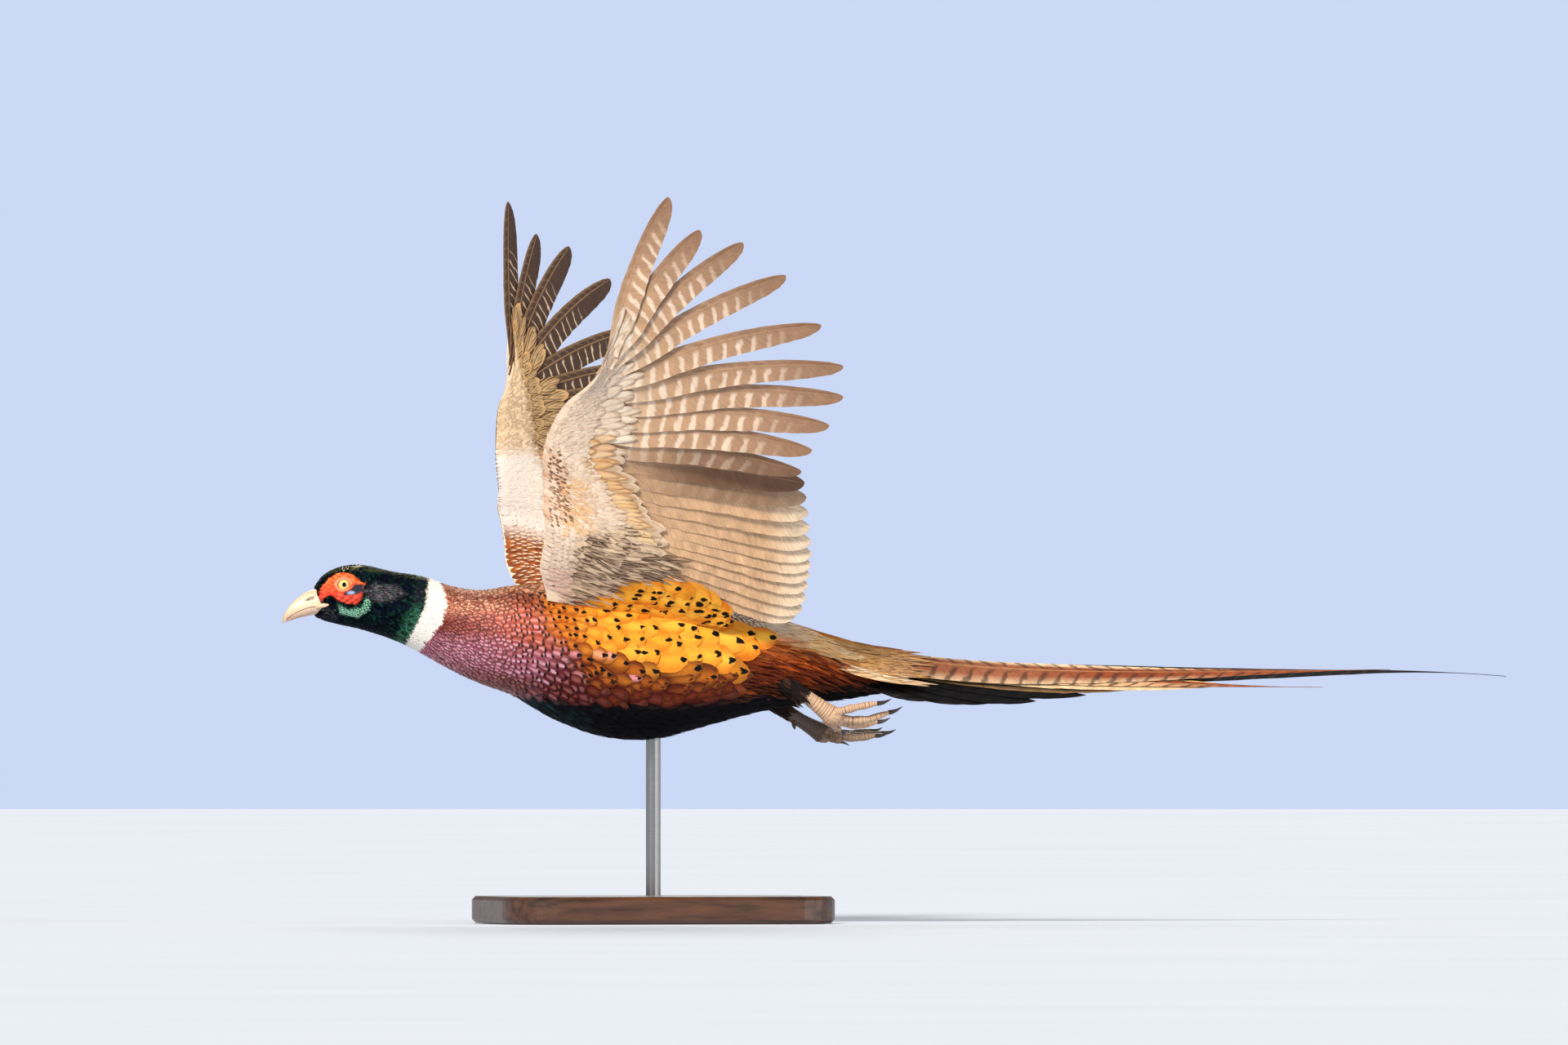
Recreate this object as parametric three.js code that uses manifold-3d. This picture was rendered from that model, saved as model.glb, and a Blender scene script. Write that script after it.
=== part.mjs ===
// A cock pheasant in flight, life size, as a museum model on a plain stand.
// Millimetres. +X runs from the bill to the tail, +Z is up and the left wing is on the -Y side.
// The origin is the middle of the underside of the stand's base.
import * as THREE from "three";
import { mergeVertices } from "three/addons/utils/BufferGeometryUtils.js";
import Module from "manifold-3d";

const wasm = await Module();
wasm.setup();

const gap = 0.3; // clear space between two parts that meet
const sliver = 0.01; // detail finer than this is smoothed away

// Head, neck and trunk as upright ellipses: place along the body, top, bottom, half width.
const bodySections = [
  [-238.5, 219, 210, 4],
  [-235.5, 225.5, 206.8, 8],
  [-228.9, 234.2, 203.8, 11.8],
  [-217, 239.8, 200.8, 14.8],
  [-203, 241, 197.8, 16.7],
  [-181, 236.4, 190.9, 17.2],
  [-160.6, 233.2, 181.5, 18.8],
  [-140, 226.6, 170.5, 22.6],
  [-119.6, 224, 161.2, 29],
  [-98, 227, 153.5, 37],
  [-68, 228, 137, 45.5],
  [-34, 226, 125.4, 50],
  [0, 222.6, 123.8, 50],
  [34, 217.5, 132, 45],
  [68, 209, 141, 36.5],
  [102.5, 199.7, 147.5, 26.5],
  [136, 184.5, 151, 18],
  [172, 172, 157, 8],
];
const headStart = bodySections[0][0];
const headEnd = -182;
const neckEnd = -113.9;
const trunkEnd = 99.6;
const tailCoreEnd = 170;
const headRings = 12;
const neckRings = 8;
const trunkRings = 18;
const coreRings = 6;
const headCorners = 16;
const trunkCorners = 20;

// The eyeball on the right side, and the ring of bare lid round it.
const eye = { x: -218.6, y: 9.2, z: 227.7, radius: 6 };
const lid = { ring: 5.1, thick: 1, open: 0.92 };

// The red wattle on the right side, as soft lobes on the side of the head: x, z, half length, half height, how far it
// stands out, and its lean.
const wattleLobes = {
  brow: [-219.8, 229, 10.5, 8.2, 1.5, 0.3],
  front: [-228, 221.3, 5.6, 7.4, 1.3, 0.25],
  cheek: [-215, 217.4, 12, 4.2, 2.2, 0.02],
  point: [-208.5, 228.3, 6, 2.4, 1.1, -0.15],
};
const wattleBulbs = 4; // along the lower edge of the cheek lobe
const bulbRadius = 1.3;

// A bill half as a dome over the mouth line at each step: mouth x and z, ridge x and z, half width at the mouth.
const upperBill = [
  [-226.5, 214, -230, 226.5, 9.4],
  [-235, 213.4, -236.3, 224.6, 8],
  [-240.5, 212.7, -242.6, 221.9, 6.4],
  [-246, 210.6, -249.4, 216.9, 4.7],
  [-250.8, 208, -254.4, 211, 3.1],
  [-254.6, 205, -257, 206.2, 1.6],
  [-256.8, 201.8, -257.7, 202.6, 0.4],
];
const lowerBill = [
  [-226.5, 213.6, -228.5, 206.5, 8.6],
  [-235, 213, -235.5, 207.4, 7.3],
  [-240.5, 212.3, -241.3, 206.4, 5.8],
  [-246, 210.2, -247.6, 205, 4.1],
  [-250.8, 207.6, -252.6, 203.5, 2.5],
  [-254, 205, -255.2, 202.5, 0.9],
];
const nostril = { x: -239.6, y: 5.6, z: 219.2, length: 5, height: 1.7, depth: 1.6 };

// A wing's feathers are numbered inwards from the outermost primary, 0, to the trunk. The wrist is at 9.5.
const wristNumber = 9.5;
const wristGap = 0.016; // in feather numbers, a little over the gap at the roots
const innerNumber = 26; // inside the trunk
const primaries = [0, 1, 2, 3, 4, 5, 6, 7, 8, 9];
const secondaries = [10, 11, 12, 13.1, 14.2, 15.3, 16.5, 17.7, 18.9, 20.2, 21.6, 23];
const handCoverts = [0.8, 2, 3.2, 4.4, 5.6, 6.9, 8.3];
const armCoverts = [10.7, 12.4, 14.1, 15.8, 17.5, 19.3, 21.2, 23.2];
// Where each feather grows: number, x, distance from the middle, z.
const featherRoots = [
  [0, -64.5, 131, 382],
  [2, -68.5, 117, 368],
  [5, -74, 95, 350],
  [9, -76.5, 74, 322],
  [10, -75, 70, 311],
  [14, -58.5, 66, 284],
  [18, -42, 63, 262],
  [21, -40, 55, 243],
  [26, -50, 34, 212],
];
// Where each feather ends.
const featherTips = [
  [0, -45.4, 212, 486.8],
  [1, -24.6, 215, 464.8],
  [2, 1.5, 228, 456.5],
  [3, 30.6, 230, 434.5],
  [4, 56.4, 225, 401.5],
  [5, 74.5, 215, 374],
  [6, 78.5, 200, 353.7],
  [7, 73.4, 183, 334.4],
  [8, 66, 166, 317.9],
  [9, 63, 150, 303.6],
  [10, 69.2, 135, 295.9],
  [14, 83.9, 97, 254.1],
  [17, 86.8, 80, 231],
  [20, 84.8, 62, 207.9],
  [23, 66, 50, 202],
  [26, 50, 42, 196],
];
// The flesh of the wing: number, reach ahead of the roots, reach behind them, thickness.
const wingFlesh = [
  [-0.6, 4, 3, 4],
  [1, 9, 5, 6.5],
  [5, 15, 6, 9],
  [9, 19, 7, 11.5],
  [10, 21, 7, 11.5],
  [14, 36, 7, 12.5],
  [18, 54, 7, 14],
  [22, 52, 8, 18],
  [26, 42, 10, 24],
];

const thickFlesh = 11.5; // where rows of smaller feathers stand off at their full height
const vaneThickness = 0.55;
const handTilt = THREE.MathUtils.degToRad(6.5); // each vane's leading edge rides over its neighbour like a tile
const armTilt = THREE.MathUtils.degToRad(8);
const flightSteps = [0, 0.22, 0.5, 0.76, 0.94, 1];
const broadSteps = [0, 0.35, 0.75, 0.95, 1];
const covertSteps = [0, 0.45, 0.85, 1];
// Rows of smaller feathers over and under the flight feathers: height over them (under the wing it is negative), how
// far the row's roots lie ahead of theirs, how far its tips reach back, and its widths.
const upperRow = { rise: 3.7, ahead: 1, reach: 60, lead: 7, trail: 10.5 };
const underRow = { rise: -4.2, ahead: 1, reach: 40, lead: 7, trail: 10.5 };
const alula = { count: 2, number: 8.6, length: 46, ahead: 17, rise: 3.6 };

// The ridge of the tail: its height over the floor at x.
const ridgeLow = 172.3;
const ridgeRise = 20.8;
const ridgeRun = 67;
const ridgeStart = 119.6;
const droopStart = 500;
const droop = 0.0005;
const tailRootX = 116;
const tailSlope = THREE.MathUtils.degToRad(45); // each side of the tail falls away from the ridge like a roof
const tierDrop = 1.05; // from one pair of tail feathers to the one under it
// Each tail feather from the middle one outwards: x of its tip, and how far down the slope the tip lies.
const tailTips = [
  [597.5, 3],
  [464, 19],
  [398, 16],
  [334, 19],
  [298, 25],
  [262, 31],
  [232, 33],
  [202, 32],
  [172, 28],
];
const shortMiddleTip = 515; // of the left middle feather, which is the shorter
const tailRootOut = [4, 0.9]; // of the middle feather's root down the slope, and more for each feather outwards
const middleWidths = [15, 8]; // of the middle feather, outside and inside its quill
const outerWidths = [10, 10];
// Coverts over and under the tail and at its sides, on the right side: the way they face, then start, end, half width.
const tailCoverts = {
  over: {
    up: [0, 0.6, 0.8],
    rows: [
      [[112, 3.5, 193.5], [192, 3.5, 178], 5],
      [[106, 4, 196.4], [172, 4.5, 180.4], 6],
      [[103, 9.5, 196.2], [142, 11.5, 179.2], 6.5],
    ],
  },
  side: {
    up: [0, 1, 0.15],
    rows: [
      [[103, 23, 184], [146, 24, 170], 6.5],
      [[103, 25, 176], [145, 27, 160], 6.5],
      [[104, 23.5, 166], [138, 25, 155], 6],
    ],
  },
  under: {
    up: [0, 0.35, -0.94],
    rows: [
      [[104, 5, 149.5], [168, 5, 150.5], 7],
      [[104, 12, 151.5], [158, 13, 152.5], 6.5],
      [[106, 6, 152], [222, 8, 152], 7],
    ],
  },
};

// Legs trail under the tail. The shank's line, and a knuckle, bend and end for each toe; the last toe is the hind one.
const legs = {
  left: {
    shank: [[68, -22, 172], [95, -25, 155.5], [118, -26.5, 139]],
    toes: [
      [[117, -29.5, 141], [131, -33, 144.7], [147.8, -35, 148]],
      [[118, -26.5, 138], [139.7, -27, 136.6], [157.9, -27, 141.9]],
      [[117, -23, 137], [137, -17.5, 133], [153, -15, 135.5]],
      [[116, -22, 137], [122, -17, 132.5], [127, -14, 129.5]],
    ],
  },
  right: {
    shank: [[76, 22, 158], [103, 25, 140], [125, 27, 127.5]],
    toes: [
      [[125, 30, 128], [146, 37, 127], [163, 41, 129]],
      [[126, 27, 127], [150, 28, 125.3], [168, 28, 127.6]],
      [[125, 24, 127], [145, 18, 124.3], [160, 15, 126]],
      [[124, 23, 126.5], [130, 17, 123], [135, 13, 121.5]],
    ],
  },
};
const toeRadius = 3.3;
const hindToeRadius = 2.5;
const shankRadii = [7.5, 6.8, 6, 5.2, 4.8, 4.8, 5.4];
const spur = { at: 0.55, length: 11, radius: 2.6 };
const clawLength = 10;

const rod = { x: 0, radius: 5, sunk: 16 };
const base = { length: 230, width: 150, height: 18, corner: 34, bevel: 2.5 };

const lerp = THREE.MathUtils.lerp;
const smooth = (t) => THREE.MathUtils.smoothstep(t, 0, 1);
const point = (x, y, z) => new THREE.Vector3(x, y, z);
const spread = (from, to, count) => Array.from({ length: count }, (_, i) => lerp(from, to, i / (count - 1)));

// Smooth curve through rows [q, ...values]: a cubic between two rows, with slopes from the rows on either side.
function keyed(rows, q) {
  const last = rows.length - 1;
  const slope = (i, k) => {
    const a = rows[Math.max(i - 1, 0)];
    const b = rows[Math.min(i + 1, last)];
    return (b[k] - a[k]) / (b[0] - a[0]);
  };
  let i = 0;
  while (i < last - 1 && rows[i + 1][0] <= q) i += 1;
  const step = rows[i + 1][0] - rows[i][0];
  const t = THREE.MathUtils.clamp((q - rows[i][0]) / step, 0, 1);
  return rows[i].slice(1).map((start, n) => {
    const k = n + 1;
    const end = rows[i + 1][k];
    const out = slope(i, k) * step;
    const into = slope(i + 1, k) * step;
    return (
      start * (2 * t ** 3 - 3 * t ** 2 + 1) +
      out * (t ** 3 - 2 * t ** 2 + t) +
      end * (3 * t ** 2 - 2 * t ** 3) +
      into * (t ** 3 - t ** 2)
    );
  });
}

// A solid from corners and triangles, turned to face out.
function solidFrom(corners, triangles) {
  const vertProperties = new Float32Array(corners.flatMap((c) => [c.x, c.y, c.z]));
  const build = (tris) =>
    new wasm.Manifold(new wasm.Mesh({ numProp: 3, vertProperties, triVerts: new Uint32Array(tris.flat()) }));
  const made = build(triangles);
  return made.volume() < 0 ? build(triangles.map(([a, b, c]) => [a, c, b])) : made;
}

// A solid from a three.js geometry.
function solidOf(geometry) {
  const bare = geometry.clone();
  bare.deleteAttribute("normal");
  bare.deleteAttribute("uv");
  const merged = mergeVertices(bare, 1e-4);
  return new wasm.Manifold(
    new wasm.Mesh({
      numProp: 3,
      vertProperties: new Float32Array(merged.attributes.position.array),
      triVerts: new Uint32Array(merged.index.array),
    }),
  );
}

// A closed skin through rings of corners, each end closed by a fan round its middle.
function loft(rings) {
  const n = rings[0].length;
  const corners = rings.flat();
  const triangles = [];
  for (let r = 0; r + 1 < rings.length; r += 1) {
    for (let j = 0; j < n; j += 1) {
      const a = r * n + j;
      const b = r * n + ((j + 1) % n);
      triangles.push([a, b, b + n], [a, b + n, a + n]);
    }
  }
  for (const [ring, start] of [
    [rings[0], 0],
    [rings.at(-1), (rings.length - 1) * n],
  ]) {
    const middle = ring.reduce((sum, c) => sum.add(c), point(0, 0, 0)).divideScalar(n);
    const hub = corners.push(middle) - 1;
    for (let j = 0; j < n; j += 1) {
      const a = start + j;
      const b = start + ((j + 1) % n);
      triangles.push(start === 0 ? [b, a, hub] : [a, b, hub]);
    }
  }
  return solidFrom(corners, triangles);
}

// Ellipse round a middle with two half axes.
function ellipse(middle, across, upwards, corners) {
  return Array.from({ length: corners }, (_, j) => {
    const turn = (2 * Math.PI * j) / corners;
    return middle.clone().addScaledVector(across, Math.cos(turn)).addScaledVector(upwards, Math.sin(turn));
  });
}

// A round limb along points with a radius at each step.
function limb(points, radii, corners = 8) {
  const curve = new THREE.CatmullRomCurve3(points);
  const last = radii.length - 1;
  return loft(
    radii.map((radius, i) => {
      const along = curve.getTangent(i / last);
      const across = point(0, 1, 0).cross(along).normalize();
      const other = along.clone().cross(across).normalize();
      return ellipse(curve.getPoint(i / last), across.multiplyScalar(radius), other.multiplyScalar(radius), corners);
    }),
  );
}

function ball(x, y, z, rx, ry, rz, around = 12, down = 8) {
  const sphere = new THREE.SphereGeometry(1, around, down);
  return solidOf(sphere.scale(rx, ry, rz).translate(x, y, z));
}

// The largest closed surface, which drops scraps and fills what is sealed, without its hair-thin triangles.
function whole(solid) {
  const largest = solid.decompose().reduce((best, next) => (next.volume() > best.volume() ? next : best));
  return largest.simplify(sliver);
}

// The same solid on the other side of the body.
const mirrored = (solid) => solid.mirror([0, 1, 0]);
const union = (solids) => wasm.Manifold.union(solids);
const onBothSides = (solids) => [...solids, ...solids.map(mirrored)];

// The body between two places, with its surface moved out by grow.
function bodyPart(from, to, rings, corners, grow = 0) {
  return loft(
    spread(from, to, rings).map((x) => {
      const [top, bottom, half] = keyed(bodySections, x);
      const middle = point(x, 0, (top + bottom) / 2);
      return ellipse(middle, point(0, half + grow, 0), point(0, 0, (top - bottom) / 2 + grow), corners);
    }),
  );
}

// The body's side at x and z, as a distance from the middle.
function bodySide(x, z) {
  const [top, bottom, half] = keyed(bodySections, x);
  const up = (z - (top + bottom) / 2) / ((top - bottom) / 2);
  return half * Math.sqrt(Math.max(0, 1 - up * up));
}

// Share of a feather's full width at v along it, from the stem to the tip.
const feathers = {
  flight: (v) => (0.45 + 0.55 * smooth(v / 0.3)) * (1 - 0.2 * v) * Math.sqrt(Math.max(0, 1 - v ** 8)),
  broad: (v) => (0.45 + 0.55 * smooth(v / 0.4)) * Math.sqrt(Math.max(0, 1 - v ** 9)),
  covert: (v) => (0.5 + 0.5 * smooth(v / 0.5)) * Math.sqrt(Math.max(0, 1 - v ** 6)),
  longest: (v) => (0.6 + 0.4 * smooth(v / 0.12)) * (1 - smooth((v - 0.2) / 0.8)),
  pointed: (v) => (0.6 + 0.4 * smooth(v / 0.15)) * (1 - v ** 2.6),
};
const narrowest = 0.07;

// A feather as a thin blade along a quill. up is the way out of its upper face, and its leading edge is raised by tilt.
// lead and trail are the full widths ahead of and behind the quill.
function vane({ quill, up, lead, trail, tilt = 0, form = feathers.covert, steps = covertSteps }) {
  const corners = [];
  for (const v of steps) {
    const at = quill.getPoint(v);
    const along = quill.getTangent(v);
    const ahead = up.clone().cross(along).normalize();
    const normal = along.clone().cross(ahead).normalize();
    const edge = ahead.clone().multiplyScalar(Math.cos(tilt)).addScaledVector(normal, Math.sin(tilt));
    const out = normal.clone().multiplyScalar(Math.cos(tilt)).addScaledVector(ahead, -Math.sin(tilt));
    const share = Math.max(form(v), narrowest);
    const half = (vaneThickness / 2) * (v < 0.9 ? 1 : 0.75);
    const front = at.clone().addScaledVector(edge, lead * share);
    const back = at.clone().addScaledVector(edge, -trail * share);
    corners.push(
      front.clone().addScaledVector(out, half),
      back.clone().addScaledVector(out, half),
      back.clone().addScaledVector(out, -half),
      front.clone().addScaledVector(out, -half),
    );
  }
  const triangles = [
    [0, 2, 1],
    [0, 3, 2],
  ];
  for (let i = 0; i + 1 < steps.length; i += 1) {
    const a = 4 * i;
    const b = a + 4;
    triangles.push([a, a + 1, b + 1], [a, b + 1, b]);
    triangles.push([a + 1, a + 2, b + 2], [a + 1, b + 2, b + 1]);
    triangles.push([a + 2, a + 3, b + 2], [a + 3, b + 3, b + 2]);
    triangles.push([a + 3, a, b], [a + 3, b, b + 3]);
  }
  const e = 4 * (steps.length - 1);
  triangles.push([e, e + 1, e + 2], [e, e + 2, e + 3]);
  return solidFrom(corners, triangles);
}

// The frame of a feather of the right wing: where it grows and ends, along it, and up off the wing's upper side.
function wingFrame(number) {
  const place = (rows, q) => point(...keyed(rows, q));
  const root = place(featherRoots, number);
  const tip = place(featherTips, number);
  const inner = place(featherRoots, number + 0.6).lerp(place(featherTips, number + 0.6), 0.4);
  const outer = place(featherRoots, number - 0.6).lerp(place(featherTips, number - 0.6), 0.4);
  const along = tip.clone().sub(root).normalize();
  const up = outer.sub(inner).cross(along).multiplyScalar(-1).normalize();
  return { root, tip, along, up, forward: up.clone().cross(along).normalize() };
}

// A quill that bows forward in the plane of the wing and arches up off it.
function bowed(root, tip, frame, bow, arch) {
  const length = root.distanceTo(tip);
  const middle = root.clone().lerp(tip, 0.5).addScaledVector(frame.forward, bow * length);
  return new THREE.QuadraticBezierCurve3(root, middle.addScaledVector(frame.up, arch * length), tip);
}

// The quill of a flight feather, or of the place between two of them.
function flightQuill(number) {
  const frame = wingFrame(number);
  const [bow, arch] = number < wristNumber ? [0.075, 0.05] : [0.03, 0.05];
  return bowed(frame.root, frame.tip, frame, bow, arch);
}

function primary(number) {
  const trail = lerp(13, 15, number / 9);
  const { up } = wingFrame(number);
  const form = feathers.flight;
  return vane({ quill: flightQuill(number), up, lead: 5.5, trail, tilt: handTilt, form, steps: flightSteps });
}

function secondary(number) {
  const { up } = wingFrame(number);
  const form = feathers.broad;
  return vane({ quill: flightQuill(number), up, lead: 8, trail: 14, tilt: armTilt, form, steps: broadSteps });
}

// A smaller feather that follows the flight feathers under or over it.
function covert(number, { rise: fullRise, ahead, reach, lead, trail }) {
  const { root, tip, along, up } = wingFrame(number);
  const rise = fullRise * Math.min(1, keyed(wingFlesh, number)[2] / thickFlesh);
  const flight = flightQuill(number);
  const share = reach / root.distanceTo(tip);
  const start = root.clone().addScaledVector(along, -ahead).addScaledVector(up, rise * 0.8);
  const middle = flight.getPoint(0.5 * share).addScaledVector(up, rise);
  const end = flight.getPoint(share).addScaledVector(up, rise);
  const bend = middle.multiplyScalar(2).addScaledVector(start, -0.5).addScaledVector(end, -0.5);
  const quill = new THREE.QuadraticBezierCurve3(start, bend, end);
  return vane({ quill, up, lead, trail, tilt: number < wristNumber ? handTilt : armTilt });
}

// The small feathers of the thumb, along the leading edge of the hand.
function thumbFeather(i) {
  const from = wingFrame(alula.number - 0.7 * i);
  const to = wingFrame(alula.number - 4.6);
  const ahead = alula.ahead - 2.4 * i;
  const start = from.root.clone().addScaledVector(from.along, -ahead + 7).addScaledVector(from.up, alula.rise);
  const aim = to.root.clone().addScaledVector(to.along, 4 - ahead).addScaledVector(to.up, alula.rise);
  const end = start.clone().add(aim.sub(start).setLength(alula.length - 7 * i));
  return vane({ quill: new THREE.LineCurve3(start, end), up: from.up, lead: 4, trail: 6 });
}

// The flesh's section: share of the reach ahead (below 0) or behind, and share of the thickness. Its back is blunt,
// so that all rows of feathers grow out of it.
const fleshSection = [
  [-1, 0],
  [-0.66, 0.4],
  [-0.2, 0.5],
  [1, 0.33],
  [1, -0.33],
  [-0.2, -0.5],
  [-0.66, -0.4],
];

function fleshOf(from, to, rings) {
  return loft(
    spread(from, to, rings).map((q) => {
      const { root, along, up } = wingFrame(q);
      const [ahead, behind, thick] = keyed(wingFlesh, q);
      return fleshSection.map(([reach, height]) =>
        root
          .clone()
          .addScaledVector(along, reach * (reach < 0 ? ahead : behind))
          .addScaledVector(up, height * thick),
      );
    }),
  );
}

// Everything of a wing between two feather numbers, to cut the hand and the arm apart.
function wingBlock(from, to) {
  const beyond = 45;
  const deep = 12;
  return loft(
    spread(from, to, 4).map((q) => {
      const { root, tip, along, up } = wingFrame(q);
      const front = root.clone().addScaledVector(along, -beyond);
      const back = tip.clone().addScaledVector(along, beyond);
      return [
        front.clone().addScaledVector(up, deep),
        back.clone().addScaledVector(up, deep),
        back.clone().addScaledVector(up, -deep),
        front.clone().addScaledVector(up, -deep),
      ];
    }),
  );
}

const covertRows = (numbers) => [
  ...numbers.map((n) => covert(n, upperRow)),
  ...numbers.filter((n) => n > 2.5).map((n) => covert(n, underRow)),
];

function wingHand() {
  const feathered = [...primaries.map(primary), ...covertRows(handCoverts)];
  const thumb = spread(0, alula.count - 1, alula.count).map(thumbFeather);
  return whole(
    union([fleshOf(-0.6, wristNumber, 7), ...feathered, ...thumb]).subtract(
      wingBlock(wristNumber - wristGap, wristNumber + 3),
    ),
  );
}

// Trunk, neck and tail root with the gap round them, to cut the wings and legs clear.
const bodyCutter = union([
  bodyPart(neckEnd + gap, trunkEnd, trunkRings, trunkCorners, gap),
  bodyPart(headEnd + gap, neckEnd, neckRings, headCorners, gap),
  bodyPart(trunkEnd + gap, tailCoreEnd, coreRings, headCorners, gap),
]);

function wingArm() {
  return whole(
    union([fleshOf(wristNumber, innerNumber, 8), ...secondaries.map(secondary), ...covertRows(armCoverts)])
      .subtract(wingBlock(wristNumber + wristGap, wristNumber - 3))
      .subtract(bodyCutter),
  );
}

// A lobe of the wattle, most of it sunk in the side of the head.
function wattleLobe([x, z, long, high, out, lean], grow) {
  const deep = 2.4;
  const lobe = new THREE.SphereGeometry(1, 10, 6).rotateX(Math.PI / 2);
  lobe.scale(long + grow, out + deep + grow, high + grow).rotateY(lean);
  return solidOf(lobe.translate(x, bodySide(x, z) - deep, z));
}

// The right side's lobes, and the row of bulbs along the lowest one.
function faceForms(grow) {
  const [x, z, long, high, out] = wattleLobes.cheek;
  const bulbs = spread(-0.6, 0.75, wattleBulbs).map((t) => {
    const low = z - 0.8 * high * Math.sqrt(1 - t * t);
    const size = bulbRadius + grow;
    return ball(x + t * long, bodySide(x + t * long, low) + 0.3 * out, low, size, size, size, 5, 4);
  });
  return [...Object.values(wattleLobes).map((lobe) => wattleLobe(lobe, grow)), ...bulbs];
}

const skull = (grow) => bodyPart(headStart - grow, headEnd, headRings, headCorners, grow);
const headCutter = union([skull(gap), ...onBothSides(faceForms(gap))]);

function head() {
  const socket = ball(eye.x, eye.y, eye.z, eye.radius + gap, eye.radius + gap, eye.radius + gap, 12, 8);
  const ring = new THREE.TorusGeometry(lid.ring, lid.thick, 6, 14).rotateX(Math.PI / 2).scale(1, 1, lid.open);
  const lids = solidOf(ring.translate(eye.x, bodySide(eye.x, eye.z) + 0.2, eye.z));
  const forms = [skull(0), ...onBothSides([...faceForms(0), lids])];
  return whole(union(forms).subtract(union(onBothSides([socket]))));
}

function billHalf(rows) {
  return loft(
    rows.map(([mx, mz, rx, rz, half]) => {
      const mouth = point(mx, 0, mz);
      const rise = point(rx - mx, 0, rz - mz);
      return spread(0, Math.PI, 10).map((turn) =>
        mouth.clone().addScaledVector(rise, Math.sin(turn)).add(point(0, half * Math.cos(turn), 0)),
      );
    }),
  ).subtract(headCutter);
}

function upperBillSolid() {
  const slit = ball(nostril.x, nostril.y, nostril.z, nostril.length / 2, nostril.depth, nostril.height / 2, 7, 5);
  return whole(billHalf(upperBill).subtract(union(onBothSides([slit]))));
}

const tailRidge = (x) =>
  ridgeLow + ridgeRise * Math.exp(-(x - ridgeStart) / ridgeRun) - droop * Math.max(0, x - droopStart) ** 2;

// A tail feather of the right side, counted outwards from the middle one.
function tailFeather(j, tipX) {
  const out = point(0, Math.cos(tailSlope), -Math.sin(tailSlope));
  const up = point(0, Math.sin(tailSlope), Math.cos(tailSlope));
  const rootOut = tailRootOut[0] + tailRootOut[1] * j;
  const points = [0, 0.12, 0.3, 0.55, 0.8, 1].map((u) => {
    const x = lerp(tailRootX, tipX, u);
    const down = lerp(rootOut, tailTips[j][1], smooth(u)) + (j === 0 ? 3 * Math.sin(Math.PI * u) : 0);
    return point(x, 0, tailRidge(x)).addScaledVector(out, down).addScaledVector(up, -tierDrop * j);
  });
  const [lead, trail] = j === 0 ? middleWidths : outerWidths;
  const quill = new THREE.CatmullRomCurve3(points);
  return vane({ quill, up, lead, trail, form: j < 2 ? feathers.longest : feathers.pointed, steps: flightSteps });
}

function tailCovert([start, end, half], up) {
  const quill = new THREE.LineCurve3(point(...start), point(...end));
  return vane({ quill, up: point(...up), lead: half, trail: half });
}

function tailSide(middleTip) {
  const flight = tailTips.map(([tipX], j) => tailFeather(j, j === 0 ? middleTip : tipX));
  const small = Object.values(tailCoverts).flatMap(({ up, rows }) => rows.map((row) => tailCovert(row, up)));
  return union([...flight, ...small]).trimByPlane([0, 1, 0], gap / 2);
}

function tail() {
  const core = bodyPart(trunkEnd + gap, tailCoreEnd, coreRings, headCorners);
  const all = union([core, tailSide(tailTips[0][0]), mirrored(tailSide(shortMiddleTip))]);
  return whole(all.trimByPlane([1, 0, 0], trunkEnd + gap));
}

const bellyAtRod = keyed(bodySections, rod.x)[1];
function trunk() {
  const hole = new THREE.CylinderGeometry(rod.radius + gap, rod.radius + gap, 2 * rod.sunk, 16);
  const socket = solidOf(hole.rotateX(Math.PI / 2).translate(rod.x, 0, bellyAtRod));
  return bodyPart(neckEnd + gap, trunkEnd, trunkRings, trunkCorners).subtract(socket);
}

const ringed = (radius, length) => spread(radius, radius * 0.66, length).map((r, i) => r * (i % 2 ? 0.92 : 1.06));
function foot(side, grow) {
  const toes = legs[side].toes.map((line, i) => {
    const radii = ringed(i === 3 ? hindToeRadius : toeRadius, i === 3 ? 4 : 5).map((r) => r + grow);
    return limb(line.map((p) => point(...p)), radii, 6);
  });
  const [x, y, z] = legs[side].toes[1][0];
  return union([ball(x, y, z, 7 + grow, 6.5 + grow, 5.6 + grow, 8, 6), ...toes]);
}

const shankCurve = (side) => legs[side].shank.map((p) => point(...p));
function leg(side) {
  return whole(limb(shankCurve(side), shankRadii, 9).subtract(bodyCutter).subtract(foot(side, gap)));
}

// The spur grows from the back of the shank and points down and inwards.
function spurSolid(side) {
  const inwards = side === "left" ? 1 : -1;
  const from = new THREE.CatmullRomCurve3(shankCurve(side)).getPoint(spur.at);
  const aim = point(-0.15, 0.6 * inwards, -0.8).normalize();
  const start = from.clone();
  const bend = from.clone().addScaledVector(aim, 0.6 * spur.length).add(point(-0.6, 0, 0));
  const end = from.clone().addScaledVector(aim, spur.length);
  const radii = [spur.radius, spur.radius * 0.8, spur.radius * 0.55, 0.3];
  const around = limb(shankCurve(side), shankRadii.map((r) => r + gap), 9);
  return whole(limb([start, bend, end], radii, 6).subtract(around));
}

function claw(side, i) {
  const [, bend, end] = legs[side].toes[i].map((p) => point(...p));
  const along = end.clone().sub(bend).normalize();
  const size = i === 3 ? 0.7 : 1;
  const arc = [0, 0.5, 1].map((t) =>
    end
      .clone()
      .addScaledVector(along, gap + clawLength * size * t)
      .add(point(0, 0, 0.8 * t - 2.6 * size * t * t)),
  );
  return limb(arc, [1.8, 1.6, 1.1, 0.35].map((r) => r * size), 6);
}

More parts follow.
